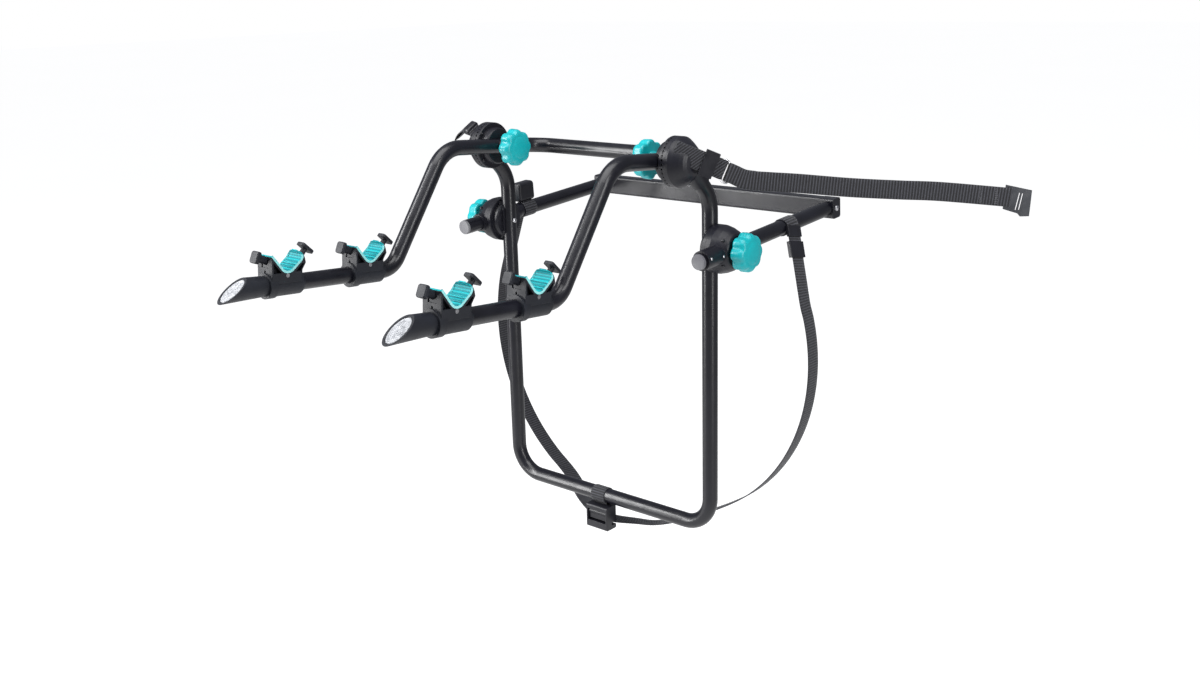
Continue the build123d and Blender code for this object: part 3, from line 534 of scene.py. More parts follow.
def placing(x: Vector, y: Vector, z: Vector, origin: Vector) -> Matrix:
    """The matrix that puts a piece in its place.

    Args:
        x: Where its first direction goes.
        y: Where its second direction goes.
        z: Where its third direction goes.
        origin: Its place in metres.

    Returns:
        The matrix.
    """
    place = Matrix((x, y, z)).transposed().to_4x4()
    place.translation = origin
    return place


# Straps

@dataclass
class Station:
    """One place on a strap: its centre, its width direction and its outer direction."""

    centre: Vector
    across: Vector
    out: Vector


def smooth_step(t: float) -> float:
    """An even change from 0 to 1."""
    t = max(0.0, min(1.0, t))
    return t * t * (3 - 2 * t)


def ways(points: list[Vector]) -> list[Vector]:
    """The direction of a route at each of its points."""
    last = len(points) - 1
    return [(points[min(i + 1, last)] - points[max(i - 1, 0)]).normalized() for i in range(last + 1)]


def upright(points: list[Vector], across: Vector) -> list[Station]:
    """Stations along a route that share one width direction."""
    return [Station(p, across, across.cross(way)) for p, way in zip(points, ways(points))]


def dense_path(stations: list[Station], step: float) -> list[Station]:
    """Close stations on the smooth curve through rough ones.

    Args:
        stations: Rough stations.
        step: Twice the wanted distance, in millimetres.

    Returns:
        The close stations.
    """
    last = len(stations) - 1
    dense = []
    for i in range(last):
        a, b = stations[i], stations[i + 1]
        before, after = stations[max(i - 1, 0)].centre, stations[min(i + 2, last)].centre
        p, q = a.centre, b.centre
        pieces = max(2, int((q - p).length / step * 2))
        for t in (k / pieces for k in range(pieces)):
            centre = 0.5 * ((2 * p) + (q - before) * t + (2 * before - 5 * p + 4 * q - after) * t * t
                            + (3 * p - before - 3 * q + after) * t ** 3)
            across, out = a.across.lerp(b.across, t), a.out.lerp(b.out, t)
            dense.append(Station(centre, across.normalized(), out.normalized()))
    return dense + [stations[-1]]


def distances(stations: list[Station]) -> list[float]:
    """How far each station lies along its strap.

    Args:
        stations: The strap's stations.

    Returns:
        Their distances from the first one, in millimetres.
    """
    far = [0.0]
    for a, b in zip(stations, stations[1:]):
        far.append(far[-1] + (b.centre - a.centre).length)
    return far


def even_path(stations: list[Station], step: float) -> list[Station]:
    """Stations at even steps along a strap's smooth centre line.

    Args:
        stations: Rough stations.
        step: Wanted step in millimetres.

    Returns:
        The even stations.
    """
    dense = dense_path(stations, step)
    far = distances(dense)
    count = max(2, round(far[-1] / step))
    even, k = [], 0
    for i in range(count + 1):
        goal = far[-1] * i / count
        while k < len(far) - 2 and far[k + 1] < goal:
            k += 1
        t = (goal - far[k]) / max(far[k + 1] - far[k], 1e-9)
        a, b = dense[k], dense[k + 1]
        even.append(Station(a.centre.lerp(b.centre, t), a.across.lerp(b.across, t), a.out.lerp(b.out, t)))
    return even


def band(name: str, stations: list[Station], width: float, thickness: float, slant: float) -> Piece:
    """A flat strap with rounded edges, its UV map in metres along and across it.

    Args:
        name: The piece's name.
        stations: Even stations along it.
        width: Its width.
        thickness: Its thickness.
        slant: How far its ribs run along it for each step across.

    Returns:
        The strap, with the attributes along and broad that its ribs follow.
    """
    half, edge = width / 2, thickness / 2
    bevel = edge * 0.3
    first = [(edge - half, edge), (-half / 2, edge), (0.0, edge), (half / 2, edge), (half - edge, edge),
             (half - bevel, edge - bevel), (half, 0.0), (half - bevel, bevel - edge)]
    outline = first + [(-a, -b) for a, b in first]
    obj = skinned(name, [[s.centre + s.across * a + s.out * b for a, b in outline] for s in stations])
    spots = [((far + slant * a) * MM, a * MM) for far in distances(stations) for a, _ in outline]
    uv = obj.data.uv_layers.new(name="UVMap")
    uv.data.foreach_set("uv", [value for loop in obj.data.loops for value in spots[loop.vertex_index]])
    along = obj.data.attributes.new("along", "FLOAT", "POINT")
    along.data.foreach_set("value", [u for u, _ in spots])
    broad = obj.data.attributes.new("broad", "FLOAT", "POINT")
    broad.data.foreach_set("value", [float(abs(b) > edge * 0.9) for _, b in outline] * len(stations))
    return obj


def strap(name: str, node: str, stations: list[Station], step: float, width: float = WEB_W,
          thickness: float = WEB_T, slant: float = 0.0) -> None:
    """Build a ribbed strap of the frame in place of its solid.

    Args:
        name: The piece's name.
        node: The solid that it replaces.
        stations: Rough stations along it.
        step: Length of one row of its faces.
        width: Its width.
        thickness: Its thickness.
        slant: How far its ribs run along it for each step across.
    """
    obj = band(name, even_path(stations, step), width, thickness, slant)
    settle(rib_tree().apply(obj), Finish.webbing, Body.FRAME, node)


# Geometry trees

class Tree(Nodes):
    """A geometry node tree under construction."""

    def __init__(self, name: str, **inputs: int | float) -> None:
        """Start a tree with a geometry input and named inputs.

        Args:
            name: The tree's name.
            inputs: Default of each input by name with _ for a space, a whole number or a size in metres.
        """
        super().__init__(bpy.data.node_groups.new(name, "GeometryNodeTree"))
        face = self.tree.interface
        face.new_socket("Geometry", in_out="INPUT", socket_type="NodeSocketGeometry")
        for key, value in inputs.items():
            kind = "NodeSocketInt" if isinstance(value, int) else "NodeSocketFloat"
            label = key.replace("_", " ").title()
            face.new_socket(label, in_out="INPUT", socket_type=kind).default_value = value
        face.new_socket("Geometry", in_out="OUTPUT", socket_type="NodeSocketGeometry")
        self.start = self.add("NodeGroupInput").outputs
        self.end = self.add("NodeGroupOutput")

    def close(self, geometry: Socket, finish: Finish) -> "Tree":
        """End the tree in Realize Instances and Set Material.

        Args:
            geometry: The finished geometry.
            finish: Its finish.

        Returns:
            This tree.
        """
        real = self.add("GeometryNodeRealizeInstances", {"Geometry": geometry}).outputs[0]
        last = self.add("GeometryNodeSetMaterial", {"Geometry": real, "Material": finish.material}).outputs[0]
        self.tree.links.new(last, self.end.inputs[0])
        return self

    def apply(self, obj: Piece, **values: object) -> Piece:
        """Run the tree on an object and keep the result as its plain mesh.

        Args:
            obj: The object that carries the tree's input mesh.
            values: Input values by name with _ for a space.

        Returns:
            The same object.
        """
        modifier = obj.modifiers.new(self.tree.name, "NODES")
        modifier.node_group = self.tree
        names = {item.name: item.identifier for item in self.tree.interface.items_tree
                 if item.in_out == "INPUT"}
        for key, value in values.items():
            modifier[names[key.replace("_", " ").title()]] = value
        graph = bpy.context.evaluated_depsgraph_get()
        made = bpy.data.meshes.new_from_object(obj.evaluated_get(graph), preserve_all_data_layers=True,
                                               depsgraph=graph)
        obj.modifiers.remove(modifier)
        obj.data = made
        return obj


@cache
def rib_tree() -> Tree:
    """The tree that raises a strap's cross ribs along its length.

    Returns:
        A tree with inputs Pitch and Height.
    """
    tree = Tree("webbing ribs", pitch=RIB_PITCH, height=RIB_HEIGHT)
    along, broad = (tree.add("GeometryNodeInputNamedAttribute", {"Name": name}).outputs["Attribute"]
                    for name in ("along", "broad"))
    turns = tree.math("DIVIDE", tree.times(along, 2 * math.pi), tree.start["Pitch"])
    lift = tree.times(tree.times(tree.math("SINE", turns), tree.start["Height"]), broad)
    normal = tree.add("GeometryNodeInputNormal").outputs[0]
    offset = tree.add("ShaderNodeVectorMath", {0: normal, "Scale": lift}, operation="SCALE").outputs[0]
    moved = tree.add("GeometryNodeSetPosition", {"Geometry": tree.start[0], "Offset": offset}).outputs[0]
    return tree.close(moved, Finish.webbing)


@cache
def honeycomb_tree() -> Tree:
    """The tree that fills a reflector's face with six-sided cells.

    Returns:
        A tree with inputs Half Width, Half Height, Cell and Depth, whose face lies in the XY plane.
    """
    tree = Tree("reflector cells", half_width=0.012, half_height=0.02, cell=0.0032, depth=0.0006)
    pick = tree.start
    row = tree.times(pick["Cell"], math.sqrt(3) / 2)
    columns, rows = (
        tree.math("ADD", tree.math("FLOOR", tree.math("DIVIDE", tree.times(pick[half], 2.0), step)), 3.0)
        for half, step in (("Half Width", pick["Cell"]), ("Half Height", row)))
    grid = tree.add("GeometryNodeMeshGrid", {
        "Size X": tree.times(pick["Cell"], tree.math("SUBTRACT", columns, 1.0)),
        "Size Y": tree.times(row, tree.math("SUBTRACT", rows, 1.0)),
        "Vertices X": columns, "Vertices Y": rows}).outputs["Mesh"]
    index = tree.add("GeometryNodeInputIndex").outputs[0]
    odd = tree.math("MODULO", tree.math("MODULO", index, rows), 2.0)
    shift = tree.add("ShaderNodeCombineXYZ", {0: tree.times(odd, tree.times(pick["Cell"], 0.5))}).outputs[0]
    points = tree.add("GeometryNodeSetPosition", {"Geometry": grid, "Offset": shift}).outputs[0]
    place = tree.add("ShaderNodeSeparateXYZ", {0: tree.add("GeometryNodeInputPosition").outputs[0]}).outputs
    inset = tree.times(pick["Cell"], 0.5)
    across, up = (
        tree.math("POWER", tree.math("ABSOLUTE", tree.math("DIVIDE", place[axis],
                                                           tree.math("SUBTRACT", pick[half], inset))), 2.0)
        for axis, half in ((0, "Half Width"), (1, "Half Height")))
    far = tree.math("GREATER_THAN", tree.math("ADD", across, up), 1.0)
    kept = tree.add("GeometryNodeDeleteGeometry", {"Geometry": points, "Selection": far}).outputs[0]
    cell = tree.add("GeometryNodeMeshCone", {
        "Vertices": 6, "Radius Top": tree.times(pick["Cell"], 0.30),
        "Radius Bottom": tree.times(pick["Cell"], 0.53), "Depth": pick["Depth"]}).outputs["Mesh"]
    turned = tree.add("GeometryNodeTransform", {"Geometry": cell, "Rotation": (0.0, 0.0, math.pi / 6)})
    spots = tree.add("GeometryNodeInstanceOnPoints", {"Points": kept, "Instance": turned.outputs[0]})
    return tree.close(spots.outputs[0], Finish.reflector_lens)


@cache
def stitch_tree() -> Tree:
    """The tree that lays rows of stitches on a strap's face.

    Returns:
        A tree with inputs Rows, Stitches, Row Gap, Pitch and Thread, whose rows lie in the XY plane.
    """
    tree = Tree("stitch rows", rows=4, stitches=8, row_gap=0.0022, pitch=0.0032, thread=0.0004)
    pick = tree.start
    grid = tree.add("GeometryNodeMeshGrid", {
        "Size X": tree.times(pick["Row Gap"], tree.math("SUBTRACT", pick["Rows"], 1.0)),
        "Size Y": tree.times(pick["Pitch"], tree.math("SUBTRACT", pick["Stitches"], 1.0)),
        "Vertices X": pick["Rows"], "Vertices Y": pick["Stitches"]}).outputs["Mesh"]
    stitch = tree.add("GeometryNodeMeshUVSphere", {"Segments": 6, "Rings": 4, "Radius": pick["Thread"]})
    ratio = tree.math("DIVIDE", tree.times(pick["Pitch"], 0.42), pick["Thread"])
    size = tree.add("ShaderNodeCombineXYZ", {0: 1.0, 1: ratio, 2: 0.8}).outputs[0]
    spots = tree.add("GeometryNodeInstanceOnPoints", {"Points": grid, "Instance": stitch.outputs[0],
                                                      "Scale": size})
    return tree.close(spots.outputs[0], Finish.cap_plastic)


# Webbing

@dataclass
class StrapPlane:
    """The upright plane of the top strap, with distance along it and height."""

    root: Vector = field(default_factory=lambda: Vector((217.6, -92.0, 366.2)))
    turn: float = math.radians(40.9)
    least_run: float = 4.0

    @property
    def along(self) -> Vector:
        """Level direction of the strap."""
        return Vector((math.cos(self.turn), math.sin(self.turn), 0.0))

    @property
    def front(self) -> Vector:
        """Direction out of the strap's outer face."""
        return Vector((math.sin(self.turn), -math.cos(self.turn), 0.0))

    def point(self, distance: float, height: float, lift: float) -> Vector:
        """A point in front of the plane by a lift."""
        return self.root + self.along * distance + UP * height + self.front * lift

    def stations(self, route: Sequence[tuple[float, float, float]]) -> list[Station]:
        """Stations of a strap on edge.

        Args:
            route: Distance, height and lift of each point.

        Returns:
            Its stations, whose width follows the route's slope wherever it runs on.
        """
        points = [self.point(*p) for p in route]
        made, tilt = [], 0.0
        for i, way in enumerate(ways(points)):
            before, after = route[max(i - 1, 0)], route[min(i + 1, len(route) - 1)]
            if abs(after[0] - before[0]) > self.least_run:
                tilt = math.atan2(after[1] - before[1], after[0] - before[0])
            if abs(tilt) > math.pi / 2:
                tilt -= math.copysign(math.pi, tilt)
            across = UP * math.cos(tilt) - self.along * math.sin(tilt)
            made.append(Station(points[i], across, across.cross(way)))
        return made


@dataclass
class TopStrap:
    """The strap that reaches sideways from the right hub, with its doubled tab."""

    plane: StrapPlane = field(default_factory=StrapPlane)
    tab: tuple[Span, Span] = ((-6.0, 3.0), (68.0, -28.5))
    tab_thickness: float = 1.5
    layer: float = 0.85
    bulge: float = 2.4
    slant: float = -0.65
    fold: tuple[tuple[float, float, float], ...] = (
        (112.0, -44.4, 0.7), (96.0, -41.6, 0.7), (84.0, -36.2, 0.2), (77.0, -33.0, -1.4), (73.0, -31.4, -2.0),
        (70.6, -30.4, 0.2), (72.6, -31.2, 2.4), (76.0, -32.4, 3.0))
    route: tuple[Span, ...] = (
        (82.0, -35.0), (94.0, -41.0), (108.0, -44.0), (134.5, -46.5), (178.5, -50.3), (252.5, -58.2),
        (327.0, -63.8), (386.0, -67.6), (475.0, -77.4), (492.0, -79.5))
    long_width: float = WEB_W - 1.5
    front: float = 2.6
    step: float = 0.73
    stitch_bars: Span = (447.0, 470.0)
    stitch_slope: float = 0.11

    def tab_piece(self) -> None:
        """Build the doubled webbing, folded round the ring's near leg."""
        (a0, b0), (a1, b1) = self.tab
        near = [(t, self.layer) for t in (0.0, 0.3, 0.6, 0.84)]
        near += [(0.93, self.bulge), (0.965, self.bulge), (0.99, self.bulge * 0.7)]
        shares = near + [(1.0, 0.0)] + [(t, -lift) for t, lift in near[::-1]]
        across = (UP * (a1 - a0) - self.plane.along * (b1 - b0)).normalized()
        points = [self.plane.point(a0 + (a1 - a0) * t, b0 + (b1 - b0) * t, lift) for t, lift in shares]
        strap("strap_tab_webbing_right", "strap_tab_right", upright(points, across), self.step,
              thickness=self.tab_thickness, slant=self.slant)

    def long_piece(self) -> None:
        """Build the long strap, turned back round the ring's far leg."""
        route = list(self.fold) + [(a, b, self.front) for a, b in self.route]
        strap("top_strap_webbing", "top_strap", self.plane.stations(route), self.step, self.long_width)

    def stitches(self) -> None:
        """Build the stitched bars near the hook plate."""
        distance, low = self.route[-2]
        x, z = self.plane.along, self.plane.front
        bars = []
        for k, place in enumerate(self.stitch_bars):
            obj = stitch_tree().apply(mesh_object(f"stitch_bar_{k}", [Vector()], []), rows=3, stitches=8,
                                      row_gap=1.6 * MM, pitch=3.0 * MM, thread=0.4 * MM)
            height = low + (distance - place) * self.stitch_slope
            origin = self.plane.point(place, height, self.front + WEB_T / 2 + 0.1) * MM
            obj.data.transform(placing(x, z.cross(x), z, origin))
            bars.append(obj)
        settle(joined("top_strap_stitches", bars), Finish.cap_plastic, Body.FRAME)

    def build(self) -> None:
        """Build every piece of the strap."""
        self.tab_piece()
        self.long_piece()
        self.stitches()


@dataclass
class SlideLine:
    """The line of a side tube."""

    side: Side
    x: float = 251.0
    tilt: float = math.radians(4.1)

    @property
    def way(self) -> Vector:
        """Direction towards the vehicle."""
        return Vector((0.0, math.cos(self.tilt), math.sin(self.tilt)))

    def at(self, y: float) -> Vector:
        """The tube's centre at a place along Y."""
        clamp = Vector((self.side.value * self.x, FRAME_Y, SLIDE_Z))
        return clamp + self.way * ((y - FRAME_Y) / math.cos(self.tilt))


def each_side(right: float, left: float) -> dict[Side, float]:
    """A size that differs between the two sides."""
    return {Side.RIGHT: right, Side.LEFT: left}


@dataclass
class TyreBelt:
    """The belt round the tyre's lower half and its loops on the side tubes."""

    tread: float = 322.6
    low_z: float = -308.6
    low_x: float = -12.0
    shoulder: float = 52.0
    side_turn: float = 34.0
    centre_turn: float = 30.0
    steps: int = 52
    step: float = 0.9
    loop_y: dict[Side, float] = field(default_factory=lambda: each_side(150.0, 66.0))
    side_y: dict[Side, float] = field(default_factory=lambda: each_side(125.0, 66.0))
    share: dict[Side, float] = field(default_factory=lambda: each_side(0.66, 0.84))
    tail: dict[Side, float] = field(default_factory=lambda: each_side(33.0, 16.0))
    gap: float = 0.35
    loop_thickness: float = 1.3
    loop_turn: float = 330.0
    loop_steps: int = 30
    layers: Span = (0.7, -0.8)

    @staticmethod
    def out(turn: float) -> Vector:
        """Outward direction of the tread at a turn in degrees from straight down."""
        a = math.radians(turn)
        return Vector((math.sin(a), 0.0, -math.cos(a)))

    @property
    def lift(self) -> float:
        """Distance of a loop's centre line from the tube's axis."""
        return TUBE_R + self.gap + WEB_T / 2

    def at(self, turn: float) -> Vector:
        """The belt's centre where it lies on the tread.

        Args:
            turn: Degrees from straight down.

        Returns:
            The place.
        """
        side = Side.RIGHT if turn > 0 else Side.LEFT
        y = self.side_y[side] * smooth_step(abs(turn) / self.side_turn)
        x = self.low_x * (1 - smooth_step(abs(turn) / self.centre_turn))
        r = self.tread - (self.tread + self.low_z) * (1 - smooth_step(y / self.shoulder))
        return self.out(turn) * r + Vector((x, y, 0.0))

    def leave(self, side: Side) -> float:
        """The turn at which the taut belt leaves the tread.

        Args:
            side: Which side.

        Returns:
            The turn in degrees.
        """
        centre = SlideLine(side).at(self.loop_y[side])
        far = math.hypot(centre.x, centre.z)
        return math.degrees(math.atan2(abs(centre.x), -centre.z) - math.acos((self.tread - self.lift) / far))

    def run(self, side: Side, down: float) -> Vector:
        """A point on the straight run.

        Args:
            side: Which side.
            down: Distance from the side tube's outer side.

        Returns:
            The point.
        """
        out = self.out(side.value * self.leave(side))
        top = SlideLine(side).at(self.loop_y[side]) + out * self.lift
        foot = out * self.tread + Vector((0.0, self.side_y[side], 0.0))
        return top + (foot - top).normalized() * down

    def belt(self) -> None:
        """Build the belt itself, from one straight run over the tread to the other."""
        right, left = self.leave(Side.RIGHT), self.leave(Side.LEFT)
        stations = []
        for i in range(self.steps + 1):
            turn = -left + (left + right) * i / self.steps
            way = (self.at(turn + 0.5) - self.at(turn - 0.5)).normalized()
            across = way.cross(self.out(turn)).normalized()
            stations.append(Station(self.at(turn), across, way.cross(across)))
        for side in Side:
            turn = side.value * self.leave(side)
            start, top = self.at(turn), self.run(side, 0.0)
            across = (top - start).normalized().cross(self.out(turn)) * side.value
            ends = [Station(start.lerp(top, share), across, self.out(turn))
                    for share in (self.share[side] * 0.5, self.share[side])]
            stations = stations + ends if side is Side.RIGHT else ends[::-1] + stations
        strap("tyre_belt_webbing", "tyre_belt", stations, self.step)

    def loop(self, side: Side) -> None:
        """Build the webbing loop on a side tube with its doubled tail.

        Args:
            side: Which side tube.
        """
        line = SlideLine(side)
        centre = line.at(self.loop_y[side])
        out = self.out(side.value * self.leave(side))
        down = (self.run(side, 10.0) - self.run(side, 0.0)).normalized()
        over = line.way.cross(out)
        if over.z < 0:
            over = -over
        tail = self.tail[side]
        inner, outer = self.layers
        flat = (line.way - down * line.way.dot(down)).normalized()
        stations = [Station(self.run(side, d) + out * inner, flat, out) for d in (tail, tail * 0.5, 6.0)]
        for k in range(self.loop_steps + 1):
            a = math.radians(self.loop_turn * k / self.loop_steps)
            spoke = out * math.cos(a) + over * math.sin(a)
            stations.append(Station(centre + spoke * self.lift, line.way, spoke))
        stations += [Station(self.run(side, d) + out * outer, flat, out) for d in (tail * 0.6, tail)]
        strap(f"side_loop_webbing_{side.word}", f"side_loop_{side.word}", stations, self.step,
              thickness=self.loop_thickness)

    def build(self) -> None:
        """Build the belt and both loops."""
        self.belt()
        for side in Side:
            self.loop(side)


@dataclass
class FootLoop:
    """The webbing that hangs the foot buckle from the lower bar."""

    x: float = -17.0
    bar_z: float = -260.0
    gap: float = 0.05
    thickness: float = 1.5
    step: float = 0.8
    front: tuple[Span, ...] = ((-17.3, -286.0), (-17.7, -278.0))
    back: tuple[Span, ...] = ((-15.6, -282.0), (-15.7, -286.0))
    first_turn: float = -115.0
    sweep: float = -312.0
    steps: int = 26

    def layer(self, route: Sequence[Span], out: Vector) -> list[Station]:
        """Stations of a layer below the bar, from the Y and Z of its points."""
        return [Station(Vector((self.x, y, z)), ALONG_X, out) for y, z in route]

    def build(self) -> None:
        """Build the loop."""
        centre = Vector((self.x, FRAME_Y, self.bar_z))
        radius = TUBE_R + WEB_T / 2 + self.gap
        stations = self.layer(self.front, Vector((0.0, -1.0, 0.0)))
        for k in range(self.steps + 1):
            a = math.radians(self.first_turn + self.sweep * k / self.steps)
            out = Vector((0.0, math.cos(a), math.sin(a)))
            stations.append(Station(centre + out * radius, ALONG_X, out))
        stations += self.layer(self.back, Vector((0.0, 1.0, 0.0)))
        strap("foot_loop_webbing", "foot_loop", stations, self.step, thickness=self.thickness)


@dataclass
class LeftTab:
    """The short webbing that stands out from the left hub, with its keeper."""

    points: tuple[tuple[float, float, float], ...] = (
        (-209.0, -92.0, 368.5), (-214.0, -91.0, 376.5), (-221.0, -90.0, 379.0), (-228.0, -89.0, 378.5),
        (-243.0, -87.4, 370.5), (-256.0, -86.0, 361.0))
    across: Vector = field(default_factory=lambda: Vector((0.0, 0.88, 0.48)).normalized())
    width: float = WEB_W - 6
    layer: float = 0.82
    bulge: float = 2.6
    step: float = 0.73
    keeper: Span = (28.0, 13.0)
    keeper_corner: float = 5.0
    keeper_rim: float = 2.0
    corner_steps: int = 5

    def webbing(self) -> None:
        """Build the doubled webbing with the loop at its end."""
        spots = upright([Vector(p) for p in self.points], self.across)
        lifts = [self.layer] * (len(spots) - 2) + [self.bulge, 0.0]
        route = [s.centre + s.out * lift for s, lift in zip(spots, lifts)]
        route += [s.centre - s.out * lift for s, lift in zip(spots, lifts)][-2::-1]
        strap("strap_tab_webbing_left", "strap_tab_left", upright(route, self.across), self.step, self.width)

    def sleeve(self) -> None:
        """Build the keeper, a block with rounded sides and softened ends."""
        start, end = Vector(self.points[1]), Vector(self.points[3])
        way, length = (end - start).normalized(), (end - start).length
        out = self.across.cross(way)
        rim = self.keeper_rim
        places = [(0.0, rim), (rim * 0.3, rim * 0.3), (rim, 0.0)]
        places += [(length - place, inset) for place, inset in places[::-1]]
        rows = []
        for place, inset in places:
            w, h = (size / 2 - inset for size in self.keeper)
            r = max(self.keeper_corner - inset, 0.4)
            row = []
            for quarter, (x, y) in enumerate(((1, 1), (-1, 1), (-1, -1), (1, -1))):
                for k in range(self.corner_steps + 1):
                    a = math.pi / 2 * (quarter + k / self.corner_steps)
                    side, rise = x * (w - r) + r * math.cos(a), y * (h - r) + r * math.sin(a)
                    row.append(start + way * place + self.across * side + out * rise)
            rows.append(row)
        settle(skinned("strap_keeper_left", rows), Finish.buckle_plastic, Body.FRAME)

    def build(self) -> None:
        """Build the webbing and its keeper."""
        self.webbing()
        self.sleeve()


# Hard pieces made again with more detail

@dataclass
class HandKnob:
    """A lobed hand knob, turned about the X axis."""

    node: str
    body: Body
    side: Side
    boss: float
    face: float
    top: float
    y: float
    z: float
    bore_end: float
    bore: float = 4.1
    neck_radius: float = 12.0
    radius: float = 30.5
    lobes: int = 8
    valley: float = 3.6
    valley_power: float = 1.6
    side_share: float = 0.55
    dome_share: float = 0.36
    crest_share: float = 0.70
    segments: int = 200

    def profile(self) -> list[tuple[float, float, float]]:
        """The knob's outline.

        Returns:
            Distance from the boss end towards the top, radius, and share of the lobes' depth.
        """
        neck, depth = abs(self.face - self.boss), abs(self.top - self.face)
        rim, thin = self.radius, self.neck_radius
        points = [(self.bore_end, 0.05, 0.0), (self.bore_end, self.bore, 0.0), (0.4, self.bore, 0.0),
                  (0.0, self.bore + 0.5, 0.0), (0.0, thin - 0.6, 0.0), (0.5, thin, 0.0),
                  (neck - 0.6, thin + 0.6, 0.0), (neck, thin + 1.6, 0.0), (neck, rim - 5.0, 0.5),
                  (neck + 0.3, rim - 2.2, 0.85), (neck + 1.3, rim - 0.6, 1.0), (neck + 3.0, rim, 1.0)]
        side = depth * self.side_share
        points += [(neck + 3.0 + (side - 3.0) * k / 4, rim - 0.1 * k, 1.0) for k in range(1, 5)]
        crest, dome = rim * self.crest_share, depth * self.dome_share
        for k in range(1, 9):
            a = math.pi / 2 * k / 8
            r = crest + (rim - 0.4 - crest) * math.cos(a)
            points.append((neck + side + dome * math.sin(a), r, math.cos(a) * 0.9 + 0.08))
        rise = neck + side + dome
        points += [(rise + 0.25, crest - 1.2, 0.06), (rise + 0.1, crest - 2.6, 0.03)]
        for k in range(1, 8):
            r = (crest - 3.6) * math.cos(math.pi / 2 * k / 7.35)
            points.append((rise + depth * 0.09 * math.sin(math.pi / 2 * k / 7), max(r, 0.4), 0.0))
        return points

    def build(self) -> None:
        """Build the knob in place of its solid."""
        sign = 1 if self.top > self.boss else -1
        turns = [2 * math.pi * k / self.segments for k in range(self.segments)]
        rows = []
        for out, r, share in self.profile():
            row = []
            for a in turns:
                dip = (0.5 - 0.5 * math.cos(self.lobes * a)) ** self.valley_power
                reach = max(r - self.valley * share * dip, 0.05)
                row.append(Vector((self.side.value * (self.boss + sign * out), self.y + reach * math.cos(a),
                                   self.z + reach * math.sin(a))))
            rows.append(row)
        name = self.node.replace("knob", "hand_knob")
        settle(skinned(name, rows), Finish.knob_plastic, self.body, self.node)


def knobs() -> list[HandKnob]:
    """The four hand knobs.

    Returns:
        Both fold knobs and both slide knobs.
    """
    made = []
    for side, fold, lock in ((Side.RIGHT, Body.FOLD_RIGHT, Body.LOCK_RIGHT),
                             (Side.LEFT, Body.FOLD_LEFT, Body.LOCK_LEFT)):
        made.append(HandKnob(f"upper_knob_{side.word}", fold, side, boss=161.3, face=150.0, top=126.0,
                             y=FOLD.y, z=FOLD.z, bore_end=19.0))
        made.append(HandKnob(f"slide_knob_{side.word}", lock, side, boss=269.3, face=274.8, top=299.8,
                             y=FRAME_Y, z=SLIDE_Z, bore_end=20.0))
    return made


@dataclass
class Reflectors:
    """Six-sided cells on the slanted faces of the arms' end caps."""

    x: float = 176.7
    end: Span = (440.6, -184.5)
    low: Span = (-106.0, -17.0)
    high: Span = (-68.0, 13.0)
    inset: float = 1.0
    half: Span = (14.2, 22.0)
    cell: float = 3.3
    depth: float = 0.7

    def spot(self, side: Side, back: float, height: float) -> Vector:
        """A point of an arm's end.

        Args:
            side: Which arm.
            back: Distance back along it.
            height: Height above its axis.

        Returns:
            The point.
        """
        c, n = math.cos(ARM_TILT), math.sin(ARM_TILT)
        f, u = self.end[0] - back, self.end[1] + height
        return Vector((side.value * self.x, FOLD.y - f * c + u * n, FOLD.z + f * n + u * c))

    def build(self) -> None:
        """Build both sheets of cells."""
        sheets = []
        for side in Side:
            low, high = self.spot(side, *self.low), self.spot(side, *self.high)
            rise, across = (high - low).normalized(), ALONG_X
            out = across.cross(rise)
            if out.z < 0:
                out, across = -out, -across
            obj = honeycomb_tree().apply(
                mesh_object(f"cells_{side.word}", [Vector()], []), half_width=self.half[0] * MM,
                half_height=self.half[1] * MM, cell=self.cell * MM, depth=self.depth * MM)
            obj.data.transform(placing(across, rise, out, ((low + high) * 0.5 - out * self.inset) * MM))
            sheets.append(obj)
        settle(joined("reflector_cells", sheets), Finish.reflector_lens, Body.ARMS)


# Studio

@dataclass(frozen=True)
class Lamp:
    """One soft rectangular light, in metres and watts."""

    name: str
    place: tuple[float, float, float]
    size: Span
    power: float

    def build(self, target: Vector) -> None:
        """Hang the light.

        Args:
            target: The point that it faces.
        """
        data = bpy.data.lights.new(self.name, "AREA")
        data.shape, data.energy = "RECTANGLE", self.power
        data.size, data.size_y = self.size
        obj = linked(self.name, data)
        obj.location = self.place
        obj.rotation_euler = (target - Vector(self.place)).to_track_quat("-Z", "Y").to_euler()


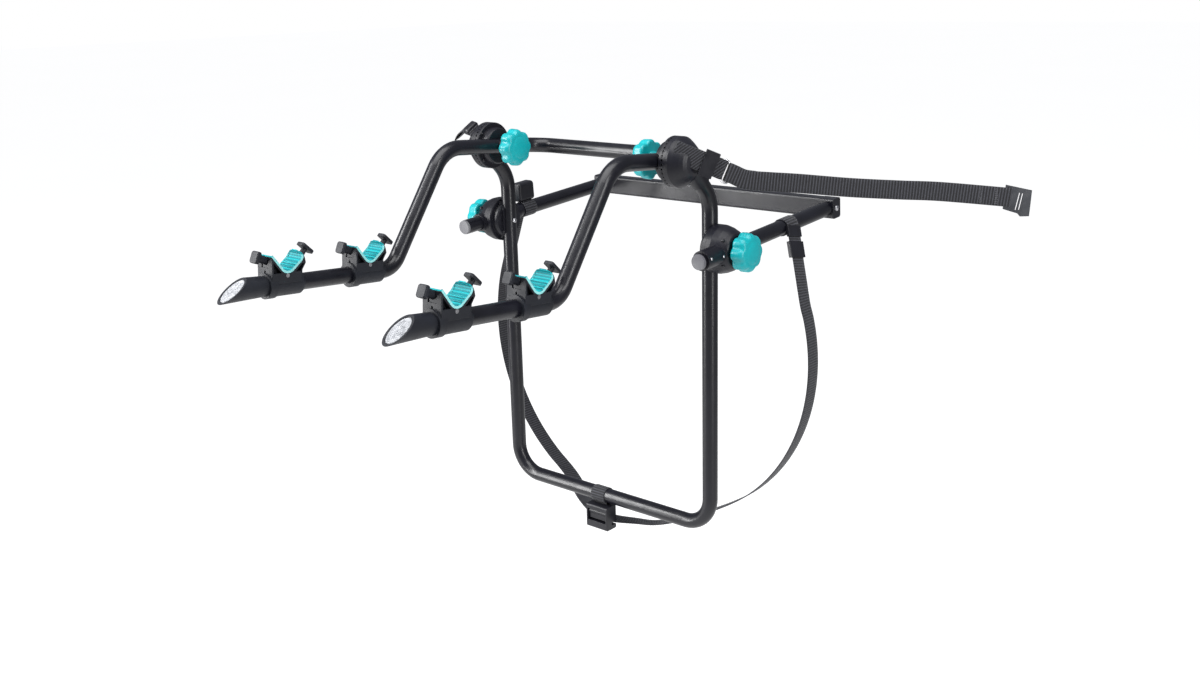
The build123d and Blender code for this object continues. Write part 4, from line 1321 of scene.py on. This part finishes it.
@dataclass
class Studio:
    """Floor, light and the camera at the photograph's angle, in metres."""

    camera_place: Vector = field(default_factory=lambda: Vector((1.3339, -1.56595, 0.60972)))
    azimuth: float = math.radians(40.92)
    elevation: float = math.radians(15.82)
    roll: float = math.radians(-1.48)
    focal_pixels: float = 1255.55
    image_width: int = 1200
    sensor: float = 36.0
    floor_z: float = -0.62
    floor_size: float = 60.0
    floor_glow: float = 0.92
    glow_near: float = 0.75
    glow_far: float = 0.15
    glow_span: Span = (0.8, 2.2)
    sky_colour: Colour = (0.86, 0.9, 1.0)
    sky_strength: float = 0.26
    middle: Vector = field(default_factory=lambda: Vector((0.0, -0.1, 0.1)))
    lamps: tuple[Lamp, ...] = (
        Lamp("key", (-1.5, -1.75, 0.75), (0.42, 2.7), 78.0),
        Lamp("side", (2.25, -0.55, 0.75), (0.4, 2.7), 34.0),
        Lamp("top", (0.2, -0.8, 3.0), (3.2, 2.4), 105.0))

    def camera(self) -> None:
        """Place the camera."""
        data = bpy.data.cameras.new("camera")
        data.sensor_width = self.sensor
        data.lens = self.focal_pixels / self.image_width * self.sensor
        data.clip_start, data.clip_end = 0.05, 200.0
        view = Vector((-math.sin(self.azimuth) * math.cos(self.elevation),
                       math.cos(self.azimuth) * math.cos(self.elevation), -math.sin(self.elevation)))
        level = view.cross(UP).normalized()
        steep = level.cross(view)
        right = level * math.cos(self.roll) + steep * math.sin(self.roll)
        up = steep * math.cos(self.roll) - level * math.sin(self.roll)
        obj = linked("camera", data)
        obj.matrix_world = placing(right, up, -view, self.camera_place)
        bpy.context.scene.camera = obj

    def floor(self) -> None:
        """Lay the pale floor."""
        half, z = self.floor_size / 2 / MM, self.floor_z / MM
        corners = [Vector((x * half, y * half, z)) for x, y in ((-1, -1), (1, -1), (1, 1), (-1, 1))]
        obj = mesh_object("floor", corners, [(0, 1, 2, 3)])
        sh = Shader("pale floor").set(specular=0.0, roughness=0.9, emission_color=(1.0, 1.0, 1.0, 1.0))
        far = sh.add("ShaderNodeVectorMath", {0: sh.coords}, operation="LENGTH").outputs["Value"]
        glow = sh.spread(far, self.glow_near, self.glow_far, *self.glow_span)
        seen = sh.add("ShaderNodeLightPath").outputs["Is Camera Ray"]
        sh.feed("Emission Strength", sh.math("MAXIMUM", glow, sh.times(seen, self.floor_glow)))
        sh.feed("Base Color", sh.ramp(sh.noise(0.6), (0.3, (0.29, 0.29, 0.29)), (0.7, (0.31, 0.31, 0.31))))
        obj.data.materials.append(sh.material)

    def sky(self) -> None:
        """Set the even light all round, white where the camera sees it."""
        world = bpy.data.worlds.new("studio")
        world.use_nodes = True
        sky = Nodes(world.node_tree)
        back = world.node_tree.nodes["Background"]
        back.inputs["Color"].default_value = (*self.sky_colour, 1.0)
        back.inputs["Strength"].default_value = self.sky_strength
        behind = sky.add("ShaderNodeBackground", {"Color": (1.0, 1.0, 1.0, 1.0)}).outputs[0]
        seen = sky.add("ShaderNodeLightPath").outputs["Is Camera Ray"]
        mix = sky.add("ShaderNodeMixShader", {0: seen, 1: back.outputs[0], 2: behind}).outputs[0]
        world.node_tree.links.new(mix, world.node_tree.nodes["World Output"].inputs["Surface"])
        bpy.context.scene.world = world

    def build(self) -> None:
        """Build the whole studio."""
        self.floor()
        self.sky()
        for lamp in self.lamps:
            lamp.build(self.middle)
        self.camera()
        bpy.context.scene.view_settings.view_transform = "Standard"


def dress_solids() -> None:
    """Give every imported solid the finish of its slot, and the rivets a blackened one."""
    slots = {row["node"]: row["material_slot"] for row in frame["record"]["subparts"]}
    for name, obj in frame["nodes"].items():
        dress(obj, Finish[slots[name]])
    frame["nodes"]["clamp_rivets"].data.materials[0] = BLACKENED.build()


def main() -> None:
    """Build the looks of the carrier in order."""
    logging.basicConfig(level=logging.INFO, format="%(name)s: %(message)s")
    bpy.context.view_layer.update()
    dress_solids()
    for knob in knobs():
        knob.build()
    TopStrap().build()
    TyreBelt().build()
    FootLoop().build()
    LeftTab().build()
    Reflectors().build()
    Studio().build()


if __name__ == "__main__":
    main()
